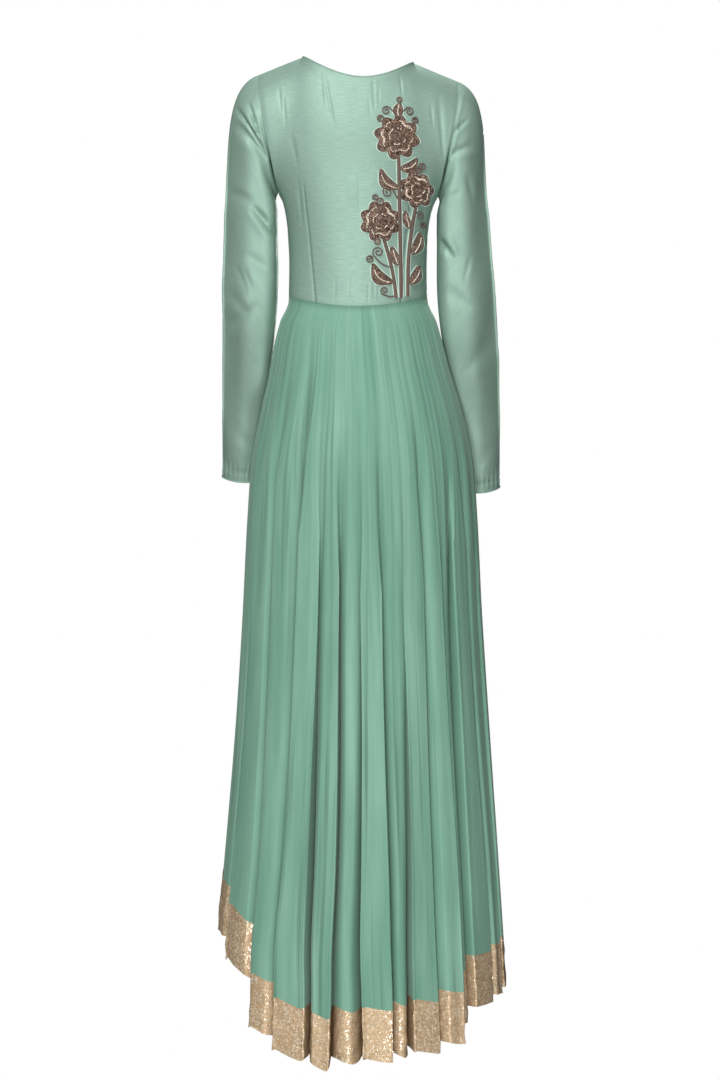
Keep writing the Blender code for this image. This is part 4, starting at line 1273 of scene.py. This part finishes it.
def thread(name, dark, light):
    """Thread laid side by side, for the pads under the beads, the cords and the stitches."""
    finish = Finish(name, 0.55, Sheen_Weight=0.3)
    strands = finish.noise((900.0, 900.0, 1600.0), source="Object")
    finish.link(finish.mixed(finish.ranged(strands, 0.35, 0.65), dark, light), "Base Color")
    finish.bumped([(strands, 0.0002)])
    return finish.material


def socket(tree, label, kind, value=None, direction="INPUT"):
    made = tree.interface.new_socket(label, in_out=direction, socket_type=kind)
    if value is not None:
        made.default_value = value
    return made.identifier


def swept_cord(tree, curve, given):
    """A round cord along each path."""
    circle = {"Resolution": CORD_SIDES, "Radius": given["Radius"]}
    ring = add_node(tree, "GeometryNodeCurvePrimitiveCircle", circle)
    swept = {"Curve": curve, "Profile Curve": ring.outputs["Curve"], "Fill Caps": True}
    return add_node(tree, "GeometryNodeCurveToMesh", swept).outputs["Mesh"]


def spaced_pieces(tree, curve, given, shape):
    """Round beads, or short rods along the path, each a little smaller than the full size by chance."""
    if shape == "bead":
        piece = add_node(tree, "GeometryNodeMeshIcoSphere", {"Subdivisions": 1, "Radius": 1.0})
        length = given["Radius"]
    else:
        rod = {"Vertices": ROD_SIDES, "Radius": 1.0, "Depth": 1.0}
        piece = add_node(tree, "GeometryNodeMeshCylinder", rod)
        length = given["Length"]
    size = add_node(tree, "ShaderNodeCombineXYZ", {"X": given["Radius"], "Y": given["Radius"], "Z": length})
    along = add_node(tree, "GeometryNodeInputTangent").outputs["Tangent"]
    turned = add_node(tree, "FunctionNodeAlignRotationToVector", {"Vector": along}, axis="Z")
    placed = {"Points": curve, "Instance": piece.outputs["Mesh"], "Rotation": turned.outputs["Rotation"]}
    placed["Scale"] = size.outputs["Vector"]
    pieces = add_node(tree, "GeometryNodeInstanceOnPoints", placed)
    least = add_node(tree, "ShaderNodeMath", {0: 1.0, 1: given["Unevenness"]}, operation="SUBTRACT")
    limits = {"Min": least.outputs[0], "Max": 1.0, "Seed": given["Seed"]}
    chance = add_node(tree, "FunctionNodeRandomValue", limits, data_type="FLOAT")
    scaled = {"Instances": pieces.outputs["Instances"], "Scale": chance.outputs["Value"]}
    return add_node(tree, "GeometryNodeScaleInstances", scaled).outputs["Instances"]


def laid_tree(name, shape):
    """A tree that lays small pieces, or a round cord, along every path of a mesh of edges."""
    tree = bpy.data.node_groups.new(name, "GeometryNodeTree")
    ids = {"Geometry": socket(tree, "Geometry", "NodeSocketGeometry")}
    for label, value in (("Spacing", 0.0015), ("Radius", 0.0007), ("Length", 0.0014), ("Unevenness", 0.12)):
        ids[label] = socket(tree, label, "NodeSocketFloat", value)
    ids["Seed"] = socket(tree, "Seed", "NodeSocketInt", 1)
    ids["Finish"] = socket(tree, "Finish", "NodeSocketMaterial")
    socket(tree, "Geometry", "NodeSocketGeometry", direction="OUTPUT")
    given = add_node(tree, "NodeGroupInput").outputs
    curve = add_node(tree, "GeometryNodeMeshToCurve", {"Mesh": given["Geometry"]}).outputs["Curve"]
    spaced = {"Curve": curve, "Length": given["Spacing"]}
    even = add_node(tree, "GeometryNodeResampleCurve", spaced, mode="LENGTH").outputs["Curve"]
    made = swept_cord(tree, even, given) if shape == "cord" else spaced_pieces(tree, even, given, shape)
    real = add_node(tree, "GeometryNodeRealizeInstances", {"Geometry": made}).outputs["Geometry"]
    smooth = add_node(tree, "GeometryNodeSetShadeSmooth", {"Geometry": real}).outputs["Geometry"]
    coated = {"Geometry": smooth, "Material": given["Finish"]}
    coat = add_node(tree, "GeometryNodeSetMaterial", coated).outputs["Geometry"]
    add_node(tree, "NodeGroupOutput", {"Geometry": coat})
    return tree, ids


TREES = {shape: laid_tree(f"laid_{shape}s", shape) for shape in ("bead", "rod", "cord")}


def laid_along(name, shape, paths, finish, **values):
    """One piece: small shapes laid along paths, each a list of points and whether it is closed."""
    points, edges = [], []
    for path, closed in paths:
        start = len(points)
        points += [tuple(map(float, p)) for p in path]
        edges += [(start + i, start + i + 1) for i in range(len(path) - 1)]
        if closed:
            edges.append((len(points) - 1, start))
    mesh = bpy.data.meshes.new(name + "_paths")
    mesh.from_pydata(points, edges, [])
    made = linked(name, mesh)
    tree, ids = TREES[shape]
    modifier = made.modifiers.new("laid", "NODES")
    modifier.node_group = tree
    for label, value in {**values, "Finish": finish}.items():
        modifier[ids[label]] = value
    made.update_tag()
    bpy.context.view_layer.update()
    graph = bpy.context.evaluated_depsgraph_get()
    result = bpy.data.meshes.new_from_object(made.evaluated_get(graph))
    made.modifiers.remove(modifier)
    made.data = result
    return made


def surface_of(points):
    """A panel's outer face, to lay embroidery on."""
    rows, columns = points.shape[:2]
    r, c = np.meshgrid(np.arange(rows - 1), np.arange(columns - 1), indexing="ij")
    corner = (r * columns + c).ravel()
    faces = np.stack([corner, corner + 1, corner + columns + 1, corner + columns], 1)
    return BVHTree.FromPolygons([Vector(p) for p in points.reshape(-1, 3)], faces.tolist())


def laid_on(surface, across, height, clearance):
    """The point that far above the back panel's outer face, seen straight from behind."""
    hit, normal, _, _ = surface.ray_cast(Vector((across, -1.0, height)), Vector((0.0, 1.0, 0.0)))
    if normal.y > 0:
        normal = -normal
    return hit + normal * clearance


def pad(name, surface, flat, faces, finish):
    """A thread pad on the panel, from flat (across, height, fullness) points, thickest at fullness 1."""
    top = [laid_on(surface, x, z, PAD_LIFT + PAD_RELIEF + PAD_DOME * full) for x, z, full in flat]
    bottom = [laid_on(surface, x, z, PAD_LIFT) for x, z, _ in flat]
    size = len(flat)
    walls = faces + [tuple(i + size for i in reversed(face)) for face in faces]
    edges = {(face[i - 1], face[i]) for face in faces for i in range(len(face))}
    walls += [(b, a, a + size, b + size) for a, b in sorted(edges) if (b, a) not in edges]
    mesh = bpy.data.meshes.new(name)
    mesh.from_pydata(top + bottom, [], walls)
    return made_object(name, mesh, finish)


def petal_radius(flower, turn, ring):
    petal = np.abs(np.sin(flower.petals * turn / 2))
    return flower.radius * ring * (1 - PETAL_NOTCH * ring * (1 - petal)), petal


def blossom_pad(flower, surface, finish):
    """A round flower with a notched edge, domed towards its middle."""
    spokes = flower.petals * SPOKES_PER_PETAL
    rings = PAD_REACH * np.array(PAD_RINGS)
    flat = [(flower.across, flower.height, 1.0)]
    for ring in rings:
        for i in range(spokes):
            turn = 2 * math.pi * i / spokes
            radius, petal = petal_radius(flower, turn, ring)
            turn += math.radians(flower.turn)
            full = (1 - (ring / PAD_REACH) ** 3) * (PETAL_DOME + (1 - PETAL_DOME) * petal)
            across = flower.across + radius * math.cos(turn)
            flat.append((across, flower.height + radius * math.sin(turn), full))
    faces = [(0, 1 + i, 1 + (i + 1) % spokes) for i in range(spokes)]
    for ring in range(len(rings) - 1):
        low, high = 1 + ring * spokes, 1 + (ring + 1) * spokes
        faces += [
            (low + i, high + i, high + (i + 1) % spokes, low + (i + 1) % spokes) for i in range(spokes)
        ]
    return pad(flower.name + "_pad", surface, flat, faces, finish)


def strip_lines(form, half_widths, shares):
    """Points across a bent strip: for each row, one at each share from its left edge to its right."""
    root = np.array((form.root_across, form.root_height))
    along = np.array((form.tip_across, form.tip_height)) - root
    aside = np.array((-along[1], along[0]))
    rows = []
    for i, half in enumerate(half_widths):
        t = i / (len(half_widths) - 1)
        middle = root + t * along + form.bend * math.sin(math.pi * t) * aside
        rows.append([middle + aside / np.linalg.norm(aside) * half * share for share in shares])
    return np.array(rows)


def leaf_half_widths(form, rows):
    shares = (np.arange(rows) / (rows - 1)) ** LEAF_BELLY
    return LEAF_BLUNTNESS + form.width / 2 * np.sin(math.pi * shares) ** LEAF_FULLNESS


def strip_pad(form, half_widths, surface, finish):
    lines = strip_lines(form, half_widths, STRIP_SHARES)
    count = len(STRIP_SHARES)
    flat = [(x, z, STRIP_FULLNESS[i % count]) for i, (x, z) in enumerate(lines.reshape(-1, 2))]
    faces = []
    for r in range(len(lines) - 1):
        for c in range(count - 1):
            faces.append((r * count + c, r * count + c + 1, (r + 1) * count + c + 1, (r + 1) * count + c))
    return pad(form.name + "_pad", surface, flat, faces, finish)


def lifted(surface, flat, clearance):
    """A flat path laid on the panel, that far above it; clearance is one number, or one for each point."""
    heights = np.broadcast_to(clearance, len(flat))
    return [laid_on(surface, x, z, h) for (x, z), h in zip(flat, heights)]


def joined(name, pieces):
    """Several meshes as one piece."""
    with bpy.context.temp_override(
        active_object=pieces[0], selected_objects=pieces, selected_editable_objects=pieces
    ):
        bpy.ops.object.join()
    pieces[0].name = name
    pieces[0].data.name = name
    return pieces[0]


def bodice(side):
    """A bodice panel with its creases, darts and sewn edges, and how dark each line on it is, with painted
    shade on the edges beside the underarm.
    """
    points = bodice_points(side)
    z = points[..., 2]
    edge = edge_distance(points)
    keep = ease(edge / EDGE_CALM)
    moved = CREASE_GAIN * creased(points, BACK_CREASES if side == "back" else FRONT_CREASES, keep)
    moved += unevenness(points, "bodice", side) * keep
    dart = line_distance(np.abs(points[..., 0]), z, DARTS[side])
    groove = bell(dart, DART_WIDTH) * ease((DARTS[side][-1][1] - z) / DART_FADE)
    seam = seam_line(edge, z)
    moved -= DART_DEPTH * groove + SEAM_GROOVE * seam
    shade = np.clip(DART_SHADE * groove + SEAM_SHADE * seam, 0.0, 1.0)
    return points + moved[..., None] * grid_normals(points, False), shade


def mirrored(creases):
    """The other sleeve's creases, for the front of a sleeve: a little lower and shallower."""
    shifted = [c._replace(z0=c.z0 + FRONT_SHIFT, z1=c.z1 + FRONT_SHIFT) for c in creases]
    return [c._replace(x0=-c.x0, x1=-c.x1, depth=c.depth * FRONT_SHARE) for c in shifted]


def puckers(turn):
    """Small uneven puckers round the cuff."""
    wander = PUCKER_WANDER * np.sin(PUCKER_WANDERS * turn)
    swell = 1 - PUCKER_SWELL + PUCKER_SWELL * np.sin(PUCKER_SWELLS * turn + 1)
    return np.cos(PUCKERS * turn + wander) * swell


def sleeve(name):
    """A sleeve with its creases, its seams and the puckers at its cuff, and how dark each line is, with
    painted shade beside the underarm and along its inner edge.
    """
    points = sleeve_points(name)
    normals = grid_normals(points, True)
    edge = run_lengths(points, 0)
    from_cuff = edge[-1:] - edge
    sideways = ease((np.abs(normals[..., 1]) - SIDE_TURN) / SIDE_BLEND)
    keep = ease(edge / SLEEVE_CALM) * ease(from_cuff / CUFF_CALM)
    keep *= EDGE_SHARE + (1 - EDGE_SHARE) * sideways
    backward = ease((SIDE_BLEND - normals[..., 1]) / (2 * SIDE_BLEND))
    moved = SLEEVE_GAIN * creased(points, SLEEVE_CREASES[name], keep * backward)
    other = "right" if name == "left" else "left"
    moved += creased(points, mirrored(SLEEVE_CREASES[other]), keep * (1 - backward))
    moved += unevenness(points * SLEEVE_STRETCH, "sleeve", name) * keep
    turn = 2 * math.pi * np.arange(SLEEVE_AROUND) / SLEEVE_AROUND
    moved += PUCKER_DEPTH * bell(from_cuff - CUFF_HEM, PUCKER_SPREAD) * puckers(turn)
    moved -= CUFF_GROOVE * bell(from_cuff - CUFF_HEM, CUFF_GROOVE_WIDTH)
    seam = seam_line(edge, points[..., 2])
    # The seam along the inner edge, darkened as well with painted shade where the sleeve turns under
    lengthwise = bell(np.minimum(turn, 2 * math.pi - turn), INNER_SEAM) * ease(edge / SLEEVE_CALM)
    moved -= SEAM_GROOVE * seam + INNER_GROOVE * lengthwise
    hem_line = bell(from_cuff - CUFF_HEM, HEM_LINE_WIDTH)
    shade = np.clip(SEAM_SHADE * seam + HEM_SHADE * hem_line + INNER_SHADE * lengthwise, 0.0, 1.0)
    return points + moved[..., None] * normals, shade


silk_cloth = silk()
georgette_cloth = georgette()
tissue_cloth = tissue()
brown_beads = beads("brown_beads", BROWN_DARK, BROWN_LIGHT, 0.55)
# Cut beads painted near white as glints, and only a little metallic
rose_beads = beads("rose_beads", ROSE_DARK, ROSE_GLINT_LIGHT, 0.12)
brown_thread = thread("brown_thread_pads", THREAD_DARK, THREAD_LIGHT)
halo_thread = thread("pale_mint_thread", HALO_DARK, HALO_LIGHT)
mint_thread = thread("mint_thread", MINT_DARK, MINT_LIGHT)


def dress_cloth(made, nodes):
    """Puts a finished cloth piece in its node's place."""
    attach(made, "root")
    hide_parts(*nodes)


def trim(made, nodes=()):
    """Puts a finished sewn-on piece on the gown, in place of its nodes where it has any."""
    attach(made, "root")
    if nodes:
        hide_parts(*nodes)


def dress_bodice():
    """Both bodice panels; returns their outer faces by side."""
    panels = {}
    for side in ("back", "front"):
        panels[side], shade = bodice(side)
        made = shell("silk_bodice_" + side, panels[side], SILK_WALL, silk_cloth, shade)
        dress_cloth(made, ["bodice_" + side])
    return panels


def dress_sleeves():
    """Both sleeves; returns their outer faces."""
    sleeves = []
    for name in ("left", "right"):
        points, shade = sleeve(name)
        made = shell("silk_sleeve_" + name, points, SILK_WALL, silk_cloth, shade, closed=True)
        dress_cloth(made, ["sleeve_" + name])
        sleeves.append(points)
    return sleeves


def dress_skirt(side, first, last):
    """The georgette between two valleys, and the gold border below it."""
    downs = np.linspace(0, 1, SKIRT_ROWS + 1)
    points, place, painted_hollow_shade = skirt_points(first, last, downs, 0 * downs)
    waist_line = bell(run_lengths(points, 0), WAIST_REACH)
    # A darker line at the waist seam, and painted shade in the valleys
    shade = np.maximum(WAIST_SHADE * waist_line, VALLEY_SHADE * painted_hollow_shade)
    made = shell("georgette_skirt_" + side, points, GEORGETTE_WALL, georgette_cloth, shade, cloth=place)
    dress_cloth(made, ["skirt_" + side])
    in_bands = np.linspace(0, 1, BAND_ROWS + 1)
    points, place, painted_hollow_shade = skirt_points(first, last, 0 * in_bands + 1, in_bands)
    crushed = unevenness(points, "tissue", "tissue") * ease(in_bands * CRUSH_RISE)[:, None]
    points = points + crushed[..., None] * grid_normals(points, False)
    # The band takes the same painted shade in its hollows
    made = shell("gold_tissue_band_" + side, points, TISSUE_WALL, tissue_cloth, painted_hollow_shade, cloth=place)
    dress_cloth(made, ["gold_band_" + side])


def blossom_path(flower, ring, start=0.0, end=1.0):
    """Points along the flower's notched outline, drawn in to a share of its size."""
    count = flower.petals * SPOKES_PER_PETAL
    turns = 2 * math.pi * np.linspace(start, end, count + 1)
    radius, _ = petal_radius(flower, turns, ring)
    turned = turns + math.radians(flower.turn)
    return np.stack([flower.across + radius * np.cos(turned), flower.height + radius * np.sin(turned)], 1)


def blossom_lift(ring):
    """How high a blossom's pad stands above the cloth on that ring."""
    return PAD_LIFT + PAD_RELIEF + PAD_DOME * (1 - (ring / PAD_REACH) ** 3) * BLOSSOM_DOME


def spiral(centre, radius, start, turns, end_share, count):
    """A flat spiral that winds in from its radius to a share of it."""
    shares = np.linspace(0, 1, count)
    reach = radius * (1 - (1 - end_share) * shares)
    angle = start + 2 * math.pi * turns * shares
    return centre + np.stack([reach * np.cos(angle), reach * np.sin(angle)], 1)


def tendril_path(form):
    """A lead that bows from the root and runs smoothly into the curl."""
    root = np.array((form.root_across, form.root_height))
    middle = np.array((form.across, form.height))
    away = root - middle
    far = np.linalg.norm(away)
    sign = math.copysign(1, form.turns)
    start = math.atan2(away[1], away[0]) + sign * math.acos(min(1.0, form.radius / far))
    curl = spiral(middle, form.radius, start, form.turns, TENDRIL_END, TENDRIL_POINTS)
    aside = np.array((-(curl[0] - root)[1], (curl[0] - root)[0])) * -sign * TENDRIL_BOW
    shares = np.linspace(0, 1, LEAD_POINTS, endpoint=False)
    lead = [root + t * (curl[0] - root) + math.sin(math.pi * t) * aside for t in shares]
    return np.concatenate([lead, curl])


# The embroidery's paths of each kind, each a list of points and whether it is closed
Paths = namedtuple("Paths", "beads cut_beads cords halo")


def blossom_rows(flower, face, paths):
    """Rings of beads, dashes of cut beads painted bright as glints, and a cord and pale thread round the
    outline.
    """
    for ring in BEAD_RINGS:
        row = blossom_path(flower, ring)[:-1]
        paths.beads.append((lifted(face, row, blossom_lift(ring) + BEAD_RADIUS * BEAD_SEAT), True))
    for ring, dashes in zip(ROSE_RINGS, ROSE_DASHES):
        height = blossom_lift(ring) + BEAD_RADIUS * CUT_BEAD_SEAT
        for start, length in dashes:
            dash = blossom_path(flower, ring, start, start + length)
            paths.cut_beads.append((lifted(face, dash, height), False))
    outline = blossom_path(flower, OUTLINE_RING)[:-1]
    paths.cords.append((lifted(face, outline, CORD_RADIUS * CORD_SEAT), True))
    paths.halo.append((lifted(face, blossom_path(flower, HALO_RING)[:-1], HALO_RADIUS), True))


def strip_rim(form, half_widths):
    """The way round a strip: along its one edge and back along the other."""
    edge = strip_lines(form, half_widths, (1.0, -1.0))
    return np.concatenate([edge[:, 0], edge[::-1, 1]])


def leaf_rows(form, face, paths):
    """Rows of beads along the leaf, a rib of cut beads painted bright as glints, and a cord and pale thread
    round it.
    """
    halves = leaf_half_widths(form, LEAF_ROWS)
    shares = np.linspace(-LEAF_SPAN, LEAF_SPAN, max(2, round(form.width / BEAD_SPACING / LEAF_ROW_PITCH)))
    lines = strip_lines(form, halves, shares)
    for column, share in enumerate(shares):
        height = PAD_LIFT + PAD_RELIEF + PAD_DOME * (1 - abs(share)) * LEAF_DOME
        paths.beads.append((lifted(face, lines[:, column], height + BEAD_RADIUS * BEAD_SEAT), False))
    rib = strip_lines(form, halves, (RIB_ASIDE,))[RIB_ROWS, 0]
    paths.cut_beads.append((lifted(face, rib, PAD_LIFT + PAD_RELIEF + PAD_DOME + BEAD_RADIUS), False))
    rim = strip_rim(form, halves + CORD_RADIUS * RIM_SEAT)
    paths.cords.append((lifted(face, rim, CORD_RADIUS * RIM_SEAT), True))
    rim = strip_rim(form, halves + CORD_RADIUS * RIM_GAP + HALO_GAP * 0.5)
    paths.halo.append((lifted(face, rim, HALO_RADIUS), True))


def stem_rows(form, face, paths):
    """Two cords side by side with beads on the line between them, and pale thread beside them."""
    lines = strip_lines(form, [form.width / 2] * STEM_ROWS, (-STEM_SPAN, 0.0, STEM_SPAN))
    for column in (0, 2):
        paths.cords.append((lifted(face, lines[:, column], CORD_RADIUS * CORD_SEAT), False))
    paths.beads.append((lifted(face, lines[:, 1], CORD_RADIUS * STEM_BEAD_SEAT), False))
    sides = strip_lines(form, [form.width / 2 + HALO_GAP] * STEM_ROWS, (-1.0, 1.0))
    for column in (0, 1):
        paths.halo.append((lifted(face, sides[:, column], HALO_RADIUS), False))


def berry_rows(berry, face, paths):
    """A spiral of beads in a ring of cord."""
    middle = np.array((berry.across, berry.height))
    winding = spiral(middle, berry.radius, 0.0, berry.radius / BEAD_SPACING, BERRY_END, BERRY_POINTS)
    paths.beads.append((lifted(face, winding, CORD_RADIUS), False))
    ring = spiral(middle, berry.radius + CORD_RADIUS, 0.0, 1.0, 1.0, BERRY_POINTS)[:-1]
    paths.cords.append((lifted(face, ring, CORD_RADIUS * CORD_SEAT), True))


def embroidery_paths(face):
    """Every row of beads and cord in the spray."""
    paths = Paths([], [], [], [])
    for flower in BLOSSOMS:
        blossom_rows(flower, face, paths)
    for form in LEAVES:
        leaf_rows(form, face, paths)
    for form in STEMS:
        stem_rows(form, face, paths)
    for form in TENDRILS:
        paths.cords.append((lifted(face, tendril_path(form), CORD_RADIUS * CORD_SEAT), False))
    for berry in BERRIES:
        berry_rows(berry, face, paths)
    return paths


def dress_embroidery(panel):
    """The spray on the bodice's back: thread pads, rows of beads, cut beads painted bright as glints, and
    cords.
    """
    face = surface_of(panel)
    pads = [blossom_pad(flower, face, brown_thread) for flower in BLOSSOMS]
    pads += [strip_pad(form, leaf_half_widths(form, LEAF_ROWS), face, brown_thread) for form in LEAVES]
    pads += [strip_pad(form, [form.width / 2] * STEM_ROWS, face, brown_thread) for form in STEMS]
    names = [form.name for form in (*BLOSSOMS, *LEAVES, *STEMS)]
    trim(joined("embroidery_pads", pads), names)

    paths = embroidery_paths(face)
    sizes = {"Spacing": BEAD_SPACING, "Radius": BEAD_RADIUS}
    sizes.update({"Unevenness": BEAD_UNEVENNESS, "Seed": BEAD_SEED})
    trim(laid_along("embroidery_beads", "bead", paths.beads, brown_beads, **sizes))
    sizes = {"Spacing": CUT_BEAD_SPACING, "Radius": CUT_BEAD_RADIUS, "Length": CUT_BEAD_LENGTH}
    sizes["Unevenness"] = CUT_BEAD_UNEVENNESS
    trim(laid_along("embroidery_cut_beads", "rod", paths.cut_beads, rose_beads, **sizes))
    sizes = {"Spacing": CORD_SPACING, "Radius": CORD_RADIUS}
    trim(laid_along("embroidery_cords", "cord", paths.cords, brown_thread, **sizes))
    sizes = {"Spacing": HALO_SPACING, "Radius": HALO_RADIUS}
    trim(laid_along("embroidery_halo", "cord", paths.halo, halo_thread, **sizes))


def dress_piping(panels, sleeves):
    """Piped edges at the cuffs and the neck."""
    at_neck = np.abs(np.linspace(-1, 1, BODICE_ACROSS + 1)) <= NECK_SHARE + NECK_MARGIN
    back, front = panels["back"][-1][at_neck], panels["front"][-1][at_neck]
    edges = [(points[-1], True) for points in sleeves]
    edges.append((np.concatenate([back, front[-2:0:-1]]), True))
    sizes = {"Spacing": PIPING_SPACING, "Radius": PIPING_RADIUS}
    trim(laid_along("silk_piping", "cord", edges, silk_cloth, **sizes))


def dress_stitches(sleeves):
    """A row of small stitches round each cuff, where it is turned up."""
    rows = []
    for points in sleeves:
        edge = run_lengths(points, 0)
        row = int(np.argmin(np.abs((edge[-1] - edge).mean(axis=1) - CUFF_HEM)))
        rows.append((points[row] + STITCH_RADIUS * grid_normals(points, True)[row], True))
    sizes = {"Spacing": STITCH_SPACING, "Radius": STITCH_RADIUS, "Length": STITCH_LENGTH}
    sizes["Unevenness"] = STITCH_UNEVENNESS
    trim(laid_along("cuff_stitches", "rod", rows, mint_thread, **sizes))


def backdrop():
    """A pale floor that runs out of sight, and the same white all round."""
    world = bpy.data.worlds.new("white_studio")
    bpy.context.scene.world = world
    world.use_nodes = True
    nodes, links = world.node_tree.nodes, world.node_tree.links
    seen, fill = nodes["Background"], nodes.new("ShaderNodeBackground")
    seen.inputs["Color"].default_value = (1.0, 1.0, 1.0, 1.0)
    seen.inputs["Strength"].default_value = WORLD_SEEN
    fill.inputs["Color"].default_value = (1.0, 1.0, 1.0, 1.0)
    fill.inputs["Strength"].default_value = WORLD_FILL
    path, mix = nodes.new("ShaderNodeLightPath"), nodes.new("ShaderNodeMixShader")
    links.new(path.outputs["Is Camera Ray"], mix.inputs["Fac"])
    links.new(fill.outputs["Background"], mix.inputs[1])
    links.new(seen.outputs["Background"], mix.inputs[2])
    links.new(mix.outputs["Shader"], nodes["World Output"].inputs["Surface"])

    mesh = bpy.data.meshes.new("floor")
    reach = FLOOR_REACH
    corners = [(-reach, -reach), (reach, -reach), (reach, reach), (-reach, reach)]
    mesh.from_pydata([(x, y, FLOOR_HEIGHT) for x, y in corners], [], [(0, 1, 2, 3)])
    floor = linked("floor", mesh)
    white = bpy.data.materials.new("pale_floor")
    white.use_nodes = True
    shader = white.node_tree.nodes["Principled BSDF"]
    shader.inputs["Base Color"].default_value = (0.0, 0.0, 0.0, 1.0)
    shader.inputs["Specular IOR Level"].default_value = 0.0
    shader.inputs["Emission Color"].default_value = (1.0, 1.0, 1.0, 1.0)
    shader.inputs["Emission Strength"].default_value = FLOOR_GLOW
    mesh.materials.append(white)
    floor.visible_diffuse = False
    floor.visible_glossy = False
    floor.visible_shadow = False


def lamp(kind):
    light = bpy.data.lights.new(kind.name, "AREA")
    light.shape = "DISK"
    light.size = kind.size
    light.energy = kind.power
    made = linked(kind.name, light)
    made.location = kind.place
    made.rotation_euler = (Vector(kind.target) - Vector(kind.place)).to_track_quat("-Z", "Y").to_euler()


def camera():
    data = bpy.data.cameras.new("camera")
    data.lens = CAMERA_LENS
    made = linked("camera", data)
    made.location = CAMERA_PLACE
    made.rotation_euler = (math.radians(90), 0.0, 0.0)
    bpy.context.scene.camera = made


panels = dress_bodice()
sleeves = dress_sleeves()
right_seam = [row.hem_angle for row in VALLEYS].index(SIDE_SEAM)
dress_skirt("back", 0, right_seam)
dress_skirt("front", right_seam, len(VALLEYS))
dress_embroidery(panels["back"])
dress_piping(panels, sleeves)
dress_stitches(sleeves)

backdrop()
for kind in LAMPS:
    lamp(kind)
camera()
bpy.context.scene.view_settings.view_transform = "Standard"
